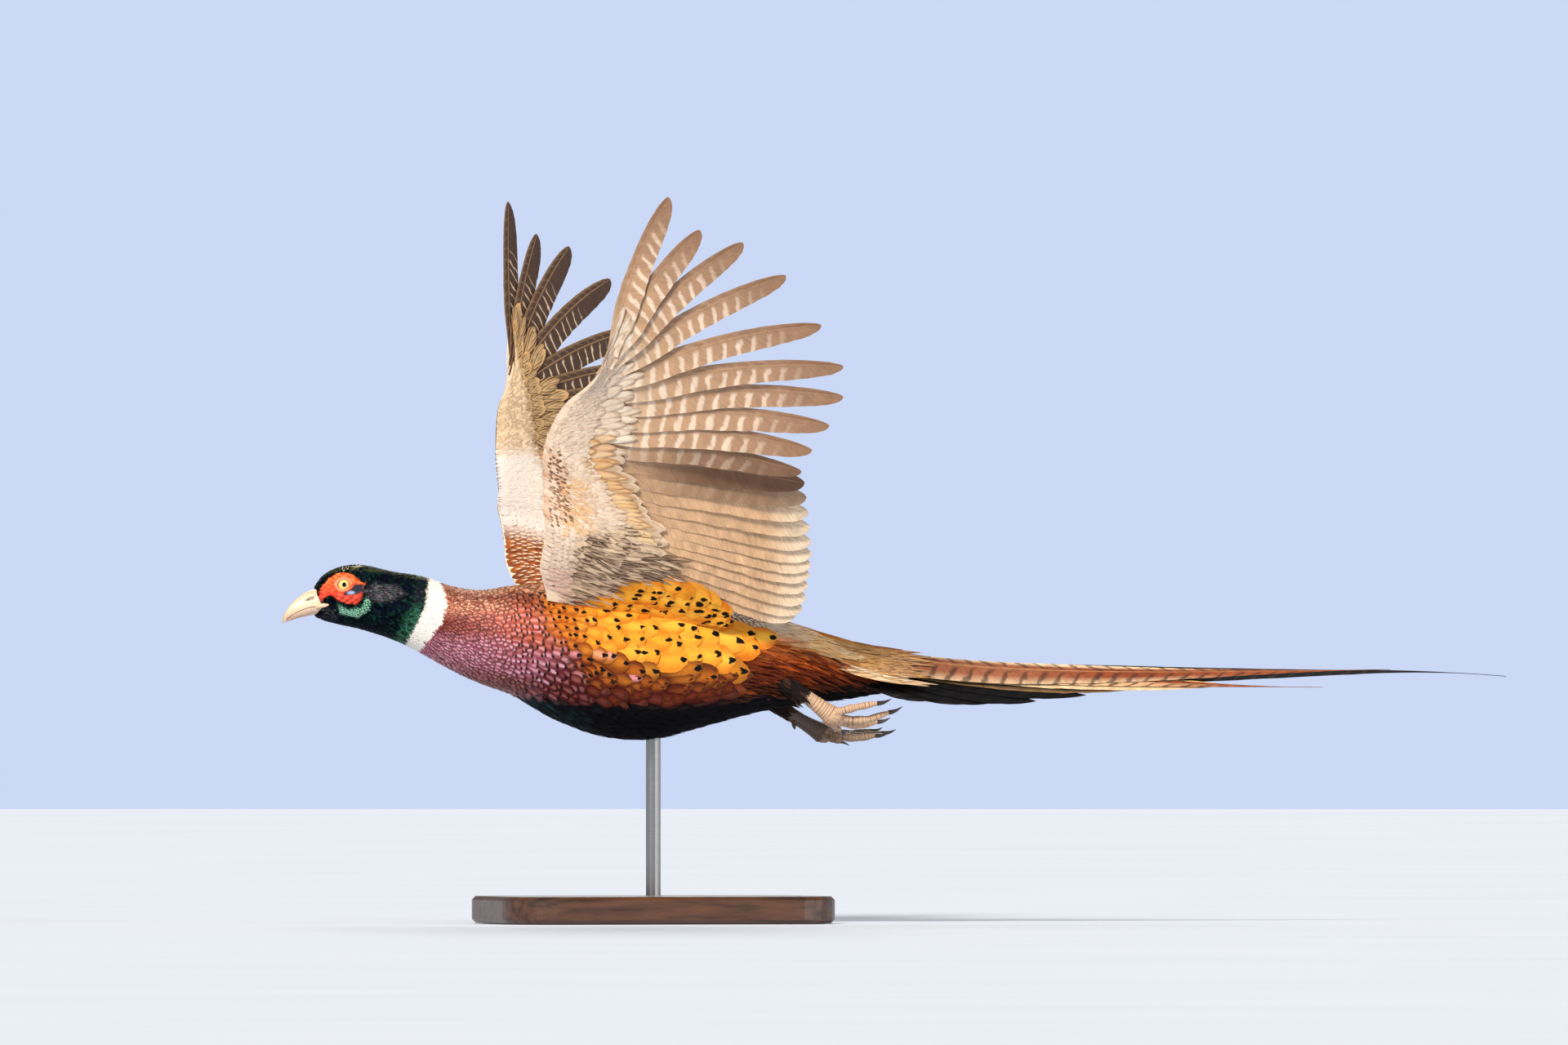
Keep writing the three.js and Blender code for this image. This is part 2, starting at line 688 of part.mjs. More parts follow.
function standBase() {
  const hx = base.length / 2 - base.bevel;
  const hy = base.width / 2 - base.bevel;
  const r = base.corner;
  const outline = new THREE.Shape();
  outline.moveTo(-hx + r, -hy);
  outline.lineTo(hx - r, -hy);
  outline.absarc(hx - r, -hy + r, r, -Math.PI / 2, 0);
  outline.absarc(hx - r, hy - r, r, 0, Math.PI / 2);
  outline.absarc(-hx + r, hy - r, r, Math.PI / 2, Math.PI);
  outline.absarc(-hx + r, -hy + r, r, Math.PI, 1.5 * Math.PI);
  const slab = new THREE.ExtrudeGeometry(outline, {
    depth: base.height - 2 * base.bevel,
    bevelThickness: base.bevel,
    bevelSize: base.bevel,
    bevelSegments: 1,
    curveSegments: 4,
  });
  return solidOf(slab.translate(0, 0, base.bevel));
}

function standRod() {
  const height = bellyAtRod + rod.sunk - base.height - 2 * gap;
  const cylinder = new THREE.CylinderGeometry(rod.radius, rod.radius, height, 16);
  return solidOf(cylinder.rotateX(Math.PI / 2).translate(rod.x, 0, base.height + gap + height / 2));
}

const finishes = {
  crown: { color: "#12302a", roughness: 0.4, metalness: 0 },
  breast: { color: "#8a3a34", roughness: 0.5, metalness: 0 },
  back: { color: "#c0701c", roughness: 0.55, metalness: 0 },
  wing: { color: "#b09a7c", roughness: 0.6, metalness: 0 },
  tail: { color: "#8f5a30", roughness: 0.55, metalness: 0 },
  bill: { color: "#d9c08a", roughness: 0.45, metalness: 0 },
  iris: { color: "#e6c469", roughness: 0.1, metalness: 0 },
  foot: { color: "#b79f84", roughness: 0.6, metalness: 0 },
  claw: { color: "#3c342e", roughness: 0.4, metalness: 0 },
  wood: { color: "#4a2f1e", roughness: 0.45, metalness: 0 },
  steel: { color: "#b9b3a4", roughness: 0.3, metalness: 1 },
};

const pheasant = new THREE.Group();

function add(name, solid, finish) {
  const mesh = solid.getMesh();
  const geometry = new THREE.BufferGeometry();
  const places = new Float32Array(mesh.numVert * 3);
  for (let i = 0; i < mesh.numVert; i += 1) {
    places.set(mesh.vertProperties.subarray(i * mesh.numProp, i * mesh.numProp + 3), i * 3);
  }
  geometry.setAttribute("position", new THREE.BufferAttribute(places, 3));
  geometry.setIndex(new THREE.BufferAttribute(mesh.triVerts, 1));
  geometry.computeVertexNormals();
  const node = new THREE.Mesh(geometry, new THREE.MeshStandardMaterial(finishes[finish]));
  node.name = name;
  pheasant.add(node);
}

add("head", head(), "crown");
add("bill_upper", upperBillSolid(), "bill");
add("bill_lower", whole(billHalf(lowerBill)), "bill");
add("neck", bodyPart(headEnd + gap, neckEnd, neckRings, headCorners), "breast");
add("trunk", trunk(), "back");
add("tail", tail(), "tail");

// The paired parts are made for the right side and mirrored to the left.
const eyeball = ball(eye.x, eye.y, eye.z, eye.radius, eye.radius, eye.radius, 12, 8);
for (const [name, solid, finish] of [
  ["eye", eyeball, "iris"],
  ["wing_arm", wingArm(), "wing"],
  ["wing_hand", wingHand(), "wing"],
]) {
  add(name + "_right", solid, finish);
  add(name + "_left", mirrored(solid), finish);
}

for (const side of Object.keys(legs)) {
  add("leg_" + side, leg(side), "foot");
  add("spur_" + side, spurSolid(side), "claw");
  add("foot_" + side, foot(side, 0), "foot");
  for (let i = 0; i < 4; i += 1) add(`claw_${side}_${i + 1}`, claw(side, i), "claw");
}

add("stand_base", standBase(), "wood");
add("stand_rod", standRod(), "steel");

export default pheasant;
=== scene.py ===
"""Looks of the common pheasant, a cock in flight on a plain display stand.

The frame's axes hold here: +X runs from the bill to the tail, +Z is up, the left wing is on the -Y side, and
the origin is the middle of the underside of the stand's base. Shapes are worked out in millimetres and put
into the meshes in metres. The tables of the body, wings and tail are those of the part's source.
"""

import math

import bpy
import numpy as np
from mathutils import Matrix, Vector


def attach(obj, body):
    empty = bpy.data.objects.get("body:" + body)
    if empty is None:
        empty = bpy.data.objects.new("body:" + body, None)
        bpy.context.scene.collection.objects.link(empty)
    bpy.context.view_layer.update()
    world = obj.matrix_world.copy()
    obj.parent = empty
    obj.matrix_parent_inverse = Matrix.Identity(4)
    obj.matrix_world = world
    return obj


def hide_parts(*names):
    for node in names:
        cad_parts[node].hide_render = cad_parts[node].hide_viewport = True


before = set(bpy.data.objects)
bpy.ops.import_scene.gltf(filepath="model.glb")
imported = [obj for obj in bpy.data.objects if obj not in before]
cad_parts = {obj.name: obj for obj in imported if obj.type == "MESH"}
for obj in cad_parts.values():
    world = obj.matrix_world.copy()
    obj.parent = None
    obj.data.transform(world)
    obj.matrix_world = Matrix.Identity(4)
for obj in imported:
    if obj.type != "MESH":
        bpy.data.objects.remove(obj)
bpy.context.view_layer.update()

MM = 0.001
rng = np.random.default_rng(7)


# Camera, as the photograph sees the bird: 15 degrees ahead of its left side, level, through a long lens.
VIEW_TURN = math.radians(15)
VIEW_COS, VIEW_SIN = math.cos(VIEW_TURN), math.sin(VIEW_TURN)
VIEW_SCALE = 0.55  # millimetres of the bird to a pixel of the picture
VIEW_MIDDLE = (800, 1130)  # the pixel that shows the frame's origin
CAMERA_AWAY = 30.0
CAMERA_AIM = (0.0911, 0.0, 0.2695)
VIEW_WIDTH = 1920 * VIEW_SCALE * MM

camera_data = bpy.data.cameras.new("camera")
camera = bpy.data.objects.new("camera", camera_data)
bpy.context.scene.collection.objects.link(camera)
camera.location = (
    CAMERA_AIM[0] - CAMERA_AWAY * VIEW_SIN,
    CAMERA_AIM[1] - CAMERA_AWAY * VIEW_COS,
    CAMERA_AIM[2],
)
camera.rotation_euler = (math.pi / 2, 0, -VIEW_TURN)
camera_data.sensor_width = 36
camera_data.lens = 36 * CAMERA_AWAY / VIEW_WIDTH
camera_data.clip_end = 100
bpy.context.scene.camera = camera


# The part's own tables, in millimetres.
# Head, neck and trunk as upright ellipses: place along the body, top, bottom, half width.
BODY_SECTIONS = [
    [-238.5, 219, 210, 4],
    [-235.5, 225.5, 206.8, 8],
    [-228.9, 234.2, 203.8, 11.8],
    [-217, 239.8, 200.8, 14.8],
    [-203, 241, 197.8, 16.7],
    [-181, 236.4, 190.9, 17.2],
    [-160.6, 233.2, 181.5, 18.8],
    [-140, 226.6, 170.5, 22.6],
    [-119.6, 224, 161.2, 29],
    [-98, 227, 153.5, 37],
    [-68, 228, 137, 45.5],
    [-34, 226, 125.4, 50],
    [0, 222.6, 123.8, 50],
    [34, 217.5, 132, 45],
    [68, 209, 141, 36.5],
    [102.5, 199.7, 147.5, 26.5],
    [136, 184.5, 151, 18],
    [172, 172, 157, 8],
]
# Where each flight feather grows and ends, on the right wing: number, x, distance from the middle, z.
FEATHER_ROOTS = [
    [0, -64.5, 131, 382],
    [2, -68.5, 117, 368],
    [5, -74, 95, 350],
    [9, -76.5, 74, 322],
    [10, -75, 70, 311],
    [14, -58.5, 66, 284],
    [18, -42, 63, 262],
    [21, -40, 55, 243],
    [26, -50, 34, 212],
]
FEATHER_TIPS = [
    [0, -45.4, 212, 486.8],
    [1, -24.6, 215, 464.8],
    [2, 1.5, 228, 456.5],
    [3, 30.6, 230, 434.5],
    [4, 56.4, 225, 401.5],
    [5, 74.5, 215, 374],
    [6, 78.5, 200, 353.7],
    [7, 73.4, 183, 334.4],
    [8, 66, 166, 317.9],
    [9, 63, 150, 303.6],
    [10, 69.2, 135, 295.9],
    [14, 83.9, 97, 254.1],
    [17, 86.8, 80, 231],
    [20, 84.8, 62, 207.9],
    [23, 66, 50, 202],
    [26, 50, 42, 196],
]
# The flesh of the wing: number, reach ahead of the roots, reach behind them, thickness.
WING_FLESH = [
    [-0.6, 4, 3, 4],
    [1, 9, 5, 6.5],
    [5, 15, 6, 9],
    [9, 19, 7, 11.5],
    [10, 21, 7, 11.5],
    [14, 36, 7, 12.5],
    [18, 54, 7, 14],
    [22, 52, 8, 18],
    [26, 42, 10, 24],
]
# Tips of the right side's tail feathers from the middle out: place along, distance down the tail's slope.
TAIL_TIPS = [
    [597.5, 3],
    [464, 19],
    [398, 16],
    [334, 19],
    [298, 25],
    [262, 31],
    [232, 33],
    [202, 32],
    [172, 28],
]
# Centre lines of each shank and of its four toes, the hind toe last. A toe has its root, its bend and its end.
LEGS = {
    "left": {
        "shank": [[68, -22, 172], [95, -25, 155.5], [118, -26.5, 139]],
        "toes": [
            [[117, -29.5, 141], [131, -33, 144.7], [147.8, -35, 148]],
            [[118, -26.5, 138], [139.7, -27, 136.6], [157.9, -27, 141.9]],
            [[117, -23, 137], [137, -17.5, 133], [153, -15, 135.5]],
            [[116, -22, 137], [122, -17, 132.5], [127, -14, 129.5]],
        ],
    },
    "right": {
        "shank": [[76, 22, 158], [103, 25, 140], [125, 27, 127.5]],
        "toes": [
            [[125, 30, 128], [146, 37, 127], [163, 41, 129]],
            [[126, 27, 127], [150, 28, 125.3], [168, 28, 127.6]],
            [[125, 24, 127], [145, 18, 124.3], [160, 15, 126]],
            [[124, 23, 126.5], [130, 17, 123], [135, 13, 121.5]],
        ],
    },
}
# The bill's sections: x and z of the mouth line, x and z of the ridge, half width.
UPPER_BILL = [
    [-226.5, 214, -230, 226.5, 9.4],
    [-235, 213.4, -236.3, 224.6, 8],
    [-240.5, 212.7, -242.6, 221.9, 6.4],
    [-246, 210.6, -249.4, 216.9, 4.7],
    [-250.8, 208, -254.4, 211, 3.1],
    [-254.6, 205, -257, 206.2, 1.6],
    [-256.8, 201.8, -257.7, 202.6, 0.4],
]
LOWER_BILL = [
    [-226.5, 213.6, -228.5, 206.5, 8.6],
    [-235, 213, -235.5, 207.4, 7.3],
    [-240.5, 212.3, -241.3, 206.4, 5.8],
    [-246, 210.2, -247.6, 205, 4.1],
    [-250.8, 207.6, -252.6, 203.5, 2.5],
    [-254, 205, -255.2, 202.5, 0.9],
]
EYE = {"x": -218.6, "y": 9.2, "z": 227.7, "radius": 6}


# Small sums.
def smooth(t):
    """The step 3t^2 - 2t^3, held between 0 and 1."""
    t = np.clip(t, 0, 1)
    return t * t * (3 - 2 * t)


def ramp(value, start, end):
    """0 up to start, 1 from end on, smooth between them. It falls where end is below start."""
    return smooth((value - start) / (end - start))


def mixed(a, b, share):
    """a where share is 0 and b where it is 1."""
    return a + (b - a) * share


def stacked(*columns):
    """Columns side by side along a last axis, with single numbers spread to the others' shape."""
    return np.stack(np.broadcast_arrays(*columns), axis=-1)


def grid(first, second):
    """Two tables of every pair of two rows of numbers."""
    return np.meshgrid(first, second, indexing="ij")


def round_angles(count):
    """Even angles round a circle, without the last that meets the first."""
    return np.linspace(0, 2 * math.pi, count, endpoint=False)


def unit(v):
    """Each vector made one long."""
    return v / np.maximum(np.linalg.norm(v, axis=-1, keepdims=True), 1e-9)


def keyed(rows, at):
    """Smooth curve through rows (q, values...): a cubic between two rows, with slopes from the rows either
    side."""
    rows = np.asarray(rows, float)
    q, values = rows[:, 0], rows[:, 1:]
    last = len(q) - 1
    before = np.maximum(np.arange(last + 1) - 1, 0)
    after = np.minimum(np.arange(last + 1) + 1, last)
    slope = (values[after] - values[before]) / (q[after] - q[before])[:, None]
    at = np.asarray(at, float)
    i = np.clip(np.searchsorted(q, at, side="right") - 1, 0, last - 1)
    step = (q[i + 1] - q[i])[..., None]
    t = np.clip((at[..., None] - q[i][..., None]) / step, 0, 1)
    return (
        values[i] * (2 * t**3 - 3 * t**2 + 1)
        + slope[i] * step * (t**3 - 2 * t**2 + t)
        + values[i + 1] * (3 * t**2 - 2 * t**3)
        + slope[i + 1] * step * (t**3 - t**2)
    )


def paint(red, green, blue):
    """A colour given as 0 to 255, as light."""
    c = np.array([red, green, blue]) / 255
    return np.where(c <= 0.04045, c / 12.92, ((c + 0.055) / 1.055) ** 2.4)


def opaque(red, green, blue):
    """The same colour for a socket, with its alpha."""
    return (*paint(red, green, blue), 1)


def seen(points):
    """The pixel of the 1920 x 1280 picture that shows each point, with the far half mirrored to the near
    one."""
    across = VIEW_COS * points[..., 0] + VIEW_SIN * np.abs(points[..., 1])
    return VIEW_MIDDLE[0] + across / VIEW_SCALE, VIEW_MIDDLE[1] - points[..., 2] / VIEW_SCALE


def inside(outline, px, py):
    """Distance in pixels from the outline, above 0 inside it: the nearest edge, with the sign from
    crossings."""
    corners = np.asarray(outline, float)
    ends = np.roll(corners, -1, axis=0)
    nearest = np.full(px.shape, 1e9)
    within = np.zeros(px.shape, bool)
    for (ax, ay), (bx, by) in zip(corners, ends):
        dx, dy = bx - ax, by - ay
        t = np.clip(((px - ax) * dx + (py - ay) * dy) / (dx * dx + dy * dy), 0, 1)
        nearest = np.minimum(nearest, np.hypot(px - ax - t * dx, py - ay - t * dy))
        crosses = (ay > py) != (by > py)
        level = np.where(crosses, ax + (py - ay) * dx / (dy if dy else 1e-9), 0)
        within ^= crosses & (px < level)
    return np.where(within, nearest, -nearest)


def catmull(points, t):
    """Smooth curve through points at t from 0 to 1, by even steps from point to point."""
    points = np.asarray(points, float)
    rows = np.column_stack([np.linspace(0, 1, len(points)), points])
    return keyed(rows, t)


# Meshes.
def make_mesh(name, points, quads, triangles=None):
    """An object at the origin with its place in its mesh. points are in millimetres."""
    faces = [np.asarray(f, np.int64).reshape(-1, n) for f, n in ((quads, 4), (triangles, 3)) if f is not None]
    counts = np.concatenate([np.full(len(f), f.shape[1]) for f in faces])
    loops = np.concatenate([f.ravel() for f in faces])
    mesh = bpy.data.meshes.new(name)
    mesh.vertices.add(len(points))
    mesh.vertices.foreach_set("co", (points * MM).astype(np.float32).ravel())
    mesh.loops.add(len(loops))
    mesh.loops.foreach_set("vertex_index", loops.astype(np.int32))
    mesh.polygons.add(len(counts))
    starts = np.concatenate([[0], np.cumsum(counts)[:-1]])
    mesh.polygons.foreach_set("loop_start", starts.astype(np.int32))
    mesh.polygons.foreach_set("use_smooth", np.ones(len(counts), bool))
    mesh.update(calc_edges=True)
    mesh.set_sharp_from_angle(angle=math.radians(75))
    made = bpy.data.objects.new(name, mesh)
    bpy.context.scene.collection.objects.link(made)
    return made


def set_colour(made, name, values):
    """A colour for each vertex."""
    full = np.ones((len(values), 4), np.float32)
    full[:, :3] = values
    made.data.attributes.new(name, "FLOAT_COLOR", "POINT").data.foreach_set("color", full.ravel())


def set_vector(made, name, values):
    """Three numbers for each vertex."""
    data = made.data.attributes.new(name, "FLOAT_VECTOR", "POINT").data
    data.foreach_set("vector", np.asarray(values, np.float32).ravel())


def set_map(made, name, values):
    """A UV map from a pair for each vertex."""
    corner = np.zeros(len(made.data.loops), np.int32)
    made.data.loops.foreach_get("vertex_index", corner)
    data = made.data.uv_layers.new(name=name).data
    data.foreach_set("uv", np.asarray(values, np.float32)[corner].ravel())


def grid_faces(rows, columns, closed=False):
    """Quads of a grid whose points run along its columns first. A closed grid joins its last column to its
    first."""
    r, c = grid(np.arange(rows - 1), np.arange(columns if closed else columns - 1))
    a = r * columns + c
    b = r * columns + (c + 1) % columns
    return stacked(a, b, b + columns, a + columns).reshape(-1, 4)


def tube(rings):
    """Points and faces of a closed skin through rings (rows x columns x 3), each end closed by a fan."""
    rows, columns = rings.shape[:2]
    points = rings.reshape(-1, 3)
    quads = grid_faces(rows, columns, closed=True)
    hubs = np.array([rings[0].mean(0), rings[-1].mean(0)])
    j = np.arange(columns)
    k = (j + 1) % columns
    start = stacked(k, j, rows * columns)
    last = (rows - 1) * columns
    end = stacked(last + j, last + k, rows * columns + 1)
    return np.vstack([points, hubs]), quads, np.vstack([start, end])


def merged(parts):
    """Several (points, quads, triangles) as one."""
    points, quads, triangles, start = [], [], [], 0
    for p, q, t in parts:
        points.append(p)
        quads.append(np.asarray(q).reshape(-1, 4) + start)
        triangles.append(np.asarray(t).reshape(-1, 3) + start)
        start += len(p)
    return np.vstack(points), np.vstack(quads), np.vstack(triangles)


def flipped(faces):
    """Faces that look the other way, with their corners in turned order."""
    return faces[:, ::-1]


def turned_out(points, quads, triangles):
    """The same shell with its faces turned to face out, by the sign of the volume that they close."""
    volume = 0.0
    for faces in (quads, triangles):
        for i in range(1, faces.shape[1] - 1):
            a, b, c = points[faces[:, 0]], points[faces[:, i]], points[faces[:, i + 1]]
            volume += np.einsum("ij,ij->", a, np.cross(b, c))
    return (points, quads, triangles) if volume > 0 else (points, flipped(quads), flipped(triangles))


def to_left(points):
    """Points of the right side mirrored to the left: y changes its sign."""
    return points * np.array([1, -1, 1])


# Surfaces that the coat lies on. Each takes a place along, in millimetres or nearly so, and a place across.
def body(x, turn):
    """The body at x: an ellipse, where turn is the angle from the top, above 0 on the right side."""
    top, bottom, half = np.moveaxis(keyed(BODY_SECTIONS, x), -1, 0)
    z = (top + bottom) / 2 + (top - bottom) / 2 * np.cos(turn)
    return stacked(x, half * np.sin(turn), z)


def wing_frame(number):
    """Root, tip, and the ways along, up off the upper side and forward, of a place on the right wing."""
    root, tip = keyed(FEATHER_ROOTS, number), keyed(FEATHER_TIPS, number)
    inner = mixed(keyed(FEATHER_ROOTS, number + 0.6), keyed(FEATHER_TIPS, number + 0.6), 0.4)
    outer = mixed(keyed(FEATHER_ROOTS, number - 0.6), keyed(FEATHER_TIPS, number - 0.6), 0.4)
    along = unit(tip - root)
    up = -unit(np.cross(outer - inner, along))
    return root, tip, along, up, np.cross(up, along)


def quill_point(number, t):
    """The quill of a flight feather: a parabola from root to tip that bows forward and arches up, straight on
    beyond its root."""
    root, tip, along, up, forward = wing_frame(number)
    length = np.linalg.norm(tip - root, axis=-1, keepdims=True)
    bow = mixed(0.075, 0.03, ramp(number, 8.8, 10.2))[..., None]
    middle = (root + tip) / 2 + forward * bow * length + up * 0.05 * length
    t = t[..., None]
    curve = (1 - t) ** 2 * root + 2 * t * (1 - t) * middle + t**2 * tip
    return np.where(t < 0, root + along * length * t, curve)


def wing_flesh(number):
    """Reach ahead of and behind the roots, and thickness, of the wing's flesh. It reaches less far forward
    at the shoulder, where the breast covers it."""
    ahead, behind, thick = np.moveaxis(keyed(WING_FLESH, number), -1, 0)
    return ahead - 8 * ramp(number, 23, 26), behind, thick


def wing_height(back, number, side):
    """Half the wing's thickness at a distance behind the roots: a blunt nose ahead of them, falling behind
    them to the pack of flight feathers. The under side runs into the flank."""
    ahead, _, thick = wing_flesh(number)
    half = 0.5 * thick * np.where(side < 0, mixed(1, 0.12, ramp(number, 20, 25.5)), 1)
    nose = half * (1 - np.clip(-back / ahead, 0, 1) ** 3) ** 0.6
    return np.where(back < 0, nose, mixed(half, np.minimum(2.3, half), smooth(back / 28)))


def wing_side(side):
    """The right wing's upper side (1) or under side (-1) as a surface of place behind the roots and
    number."""

    def surface(back, number):
        root, tip, _, up, _ = wing_frame(number)
        length = np.linalg.norm(tip - root, axis=-1)
        return quill_point(number, back / length) + up * (side * wing_height(back, number, side))[..., None]

    return surface


# A small feather as a thin cambered scale: a grid three, five or nine wide, closed below across its edges.
def scale_shape(steps, widths, columns):
    """t along, s across, and faces of a scale. Each step but the last has `columns` points, and the last is
    the tip."""
    s_row = np.linspace(-1, 1, columns)
    t = np.repeat(steps[:-1], columns)
    s = np.tile(s_row, len(steps) - 1)
    t, s = np.append(t, steps[-1]), np.append(s, 0)
    width = np.append(np.repeat(widths[:-1], columns), 0)
    rows = len(steps) - 1
    top = grid_faces(rows, columns)
    r = np.arange(rows - 1) * columns
    under = stacked(r, r + columns, r + 2 * columns - 1, r + columns - 1)
    tip, last = rows * columns, (rows - 1) * columns
    j = np.arange(columns - 1)
    fan = stacked(last + j, last + j + 1, tip)
    back = np.array([[last + columns - 1, last, tip]])
    if columns == 3:
        stem = np.array([[0, 2, 1]])
    else:
        middle, edge = columns // 2, columns - 1
        stem = np.array([[0, edge, middle], [0, middle, 1], [edge, edge - 1, middle]])
    faces = {"quads": np.vstack([top, under]), "triangles": np.vstack([fan, back, stem])}
    return {"t": t, "s": s, "width": width, **faces}


SMALL_SCALE = scale_shape([0, 0.45, 0.78, 0.94, 1], [0.4, 0.9, 1, 0.6, 0], 3)
ROUND_SCALE = scale_shape([0, 0.3, 0.6, 0.82, 0.94, 1], [0.35, 0.75, 1, 0.93, 0.6, 0], 5)
LONG_SCALE = scale_shape(
    [0, 0.3, 0.5, 0.66, 0.78, 0.88, 0.95, 1],
    [0.35, 0.75, 0.95, 1, 0.96, 0.8, 0.5, 0],
    9,
)
LOOSE_SCALE = scale_shape([0, 0.35, 0.62, 0.82, 0.94, 1], [0.45, 0.95, 0.9, 0.6, 0.28, 0], 5)


def lay(surface, out_sign, shape, coat, fringe=0.0):
    """Lays a coat of scales on a surface. Each scale's points go t x length along from its root and s x half
    width across it, and are then raised off the surface by root_lift at the stem, tip_lift at the tip, and a
    camber of 1 - s^2 across. The fringe frays its end by a random share of the length."""
    t, s, width = (shape[k][None, :] for k in ("t", "s", "width"))
    col = {k: np.asarray(v, float)[:, None] for k, v in coat.items() if np.ndim(v) == 1}
    along = t * col["length"]
    if fringe:
        along = along + fringe * col["length"] * rng.normal(0, 1, (len(coat["u"]), t.shape[1])) * (t > 0.7)
    across = s * width * col["half"] + along * col["lean"]
    u = col["u"] + along
    step = 0.02
    v0 = np.broadcast_to(col["v"], u.shape)
    per = np.linalg.norm(surface(u, v0 + step) - surface(u, v0 - step), axis=-1) / (2 * step)
    v = v0 + across / np.maximum(per, 0.3)
    here = surface(u, v)
    run = surface(u + 0.5, v) - surface(u - 0.5, v)
    cross = surface(u, v + step) - surface(u, v - step)
    out = unit(np.cross(run, cross)) * out_sign
    lift = mixed(col["root_lift"], col["tip_lift"], t**1.3)
    lift = lift + col["camber"] * col["half"] * width * (1 - s**2)
    return here + out * lift[..., None]


def unwrap_body(x, turn):
    """The body's own unwrap: along it, and round it from the belly."""
    return 0.02 + 0.46 * (x + 240) / 420, 0.03 + 0.94 * (np.asarray(turn) / (2 * math.pi) + 0.5)


def unwrap_wing(back, number, side):
    """A wing surface's own unwrap: behind the roots, and along the wing. The upper side lies over the under
    side."""
    return 0.54 + 0.42 * (back + 60) / 180, (0.52 if side > 0 else 0.03) + 0.45 * (number + 1) / 28


PATCH = 0.003  # width and height of a feather's patch on the bake map


def coat_piece(name, points, shape, coat, left=False):
    """One object from laid scales, with their colours, marks and maps."""
    count, each = points.shape[:2]
    shift = (np.arange(count) * each)[:, None, None]
    quads = (shape["quads"][None] + shift).reshape(-1, 4)
    triangles = (shape["triangles"][None] + shift).reshape(-1, 3)
    flat = points.reshape(-1, 3)
    if left:
        flat, quads, triangles = to_left(flat), flipped(quads), flipped(triangles)
    made = make_mesh(name, flat, quads, triangles)
    for key in ("tone", "mark", "glow"):
        set_colour(made, key, np.repeat(coat[key], each, axis=0))
    for key in ("plan", "trim", "more", "form"):
        set_vector(made, key, np.repeat(coat[key], each, axis=0))
    s, t = np.tile(shape["s"], count), np.tile(shape["t"], count)
    set_map(made, "Vane", stacked(s * 0.5 + 0.5, t))
    bake = np.repeat(coat["bake"], each, axis=0)
    set_map(made, "OFBake", bake + stacked(s * PATCH / 2, (t - 0.5) * PATCH))
    return made


def chosen(coat, keep):
    """The scales of a coat that keep picks."""
    return {k: np.asarray(v)[keep] for k, v in coat.items()}


# Shader groups and materials.
class Nodes:
    """A short way to write node trees."""

    def __init__(self, tree):
        self.tree = tree

    def add(self, kind, **settings):
        made = self.tree.nodes.new(kind)
        for key, value in settings.items():
            setattr(made, key, value)
        return made

    def plug(self, socket, value):
        if isinstance(value, bpy.types.NodeSocket):
            self.tree.links.new(value, socket)
        else:
            socket.default_value = value

    def math(self, operation, *values, clamp=False):
        made = self.add("ShaderNodeMath", operation=operation, use_clamp=clamp)
        for socket, value in zip(made.inputs, values):
            self.plug(socket, value)
        return made.outputs[0]

    def times(self, a, b):
        return self.math("MULTIPLY", a, b)

    def plus(self, a, b):
        return self.math("ADD", a, b)

    def minus(self, a, b):
        return self.math("SUBTRACT", a, b)

    def scaled(self, value, factor, shift):
        return self.math("MULTIPLY_ADD", value, factor, shift)

    def ramp(self, value, start, end, low=0.0, high=1.0):
        made = self.add("ShaderNodeMapRange", interpolation_type="SMOOTHSTEP")
        for socket, given in zip(made.inputs, (value, start, end, low, high)):
            self.plug(socket, given)
        return made.outputs[0]

    def mix(self, share, a, b, kind="MIX"):
        made = self.add("ShaderNodeMix", data_type="RGBA", blend_type=kind)
        self.plug(made.inputs[0], share)
        self.plug(made.inputs[6], a)
        self.plug(made.inputs[7], b)
        return made.outputs[2]

    def split(self, vector):
        made = self.add("ShaderNodeSeparateXYZ")
        self.plug(made.inputs[0], vector)
        return made.outputs

    def noise(self, vector, scale, detail=2.0, rough=0.5):
        made = self.add("ShaderNodeTexNoise")
        self.plug(made.inputs["Vector"], vector)
        made.inputs["Scale"].default_value = scale
        made.inputs["Detail"].default_value = detail
        made.inputs["Roughness"].default_value = rough
        return made.outputs["Fac"]

    def attribute(self, name):
        return self.add("ShaderNodeAttribute", attribute_name=name).outputs

    def join(self, x, y, z):
        made = self.add("ShaderNodeCombineXYZ")
        for socket, value in zip(made.inputs, (x, y, z)):
            self.plug(socket, value)
        return made.outputs[0]

    def grey(self, value):
        made = self.add("ShaderNodeCombineColor")
        for socket in made.inputs:
            self.plug(socket, value)
        return made.outputs[0]

    def uv(self, name):
        return self.add("ShaderNodeUVMap", uv_map=name).outputs[0]

    def place(self):
        return self.add("ShaderNodeTexCoord").outputs["Object"]


def new_group(name, inputs, outputs):
    """A shader node group with named sockets. Returns its tree, its Nodes, and the ends of its inputs and
    outputs."""
    tree = bpy.data.node_groups.new(name, "ShaderNodeTree")
    kinds = {"f": "NodeSocketFloat", "v": "NodeSocketVector", "c": "NodeSocketColor"}
    for label, kind in inputs:
        tree.interface.new_socket(name=label, in_out="INPUT", socket_type=kinds[kind])
    for label, kind in outputs:
        tree.interface.new_socket(name=label, in_out="OUTPUT", socket_type=kinds[kind])
    nodes = Nodes(tree)
    return tree, nodes, nodes.add("NodeGroupInput").outputs, nodes.add("NodeGroupOutput").inputs


# Sockets of the two groups of marks: colours, and values in threes.
SMALL_PAINTS, LARGE_PAINTS = ("Tone", "Mark", "Glow"), ("Tone", "Bar", "Lead")
SMALL_VALUES, LARGE_VALUES = ("Plan", "Trim", "More", "Form"), ("Plan", "Trim", "More")


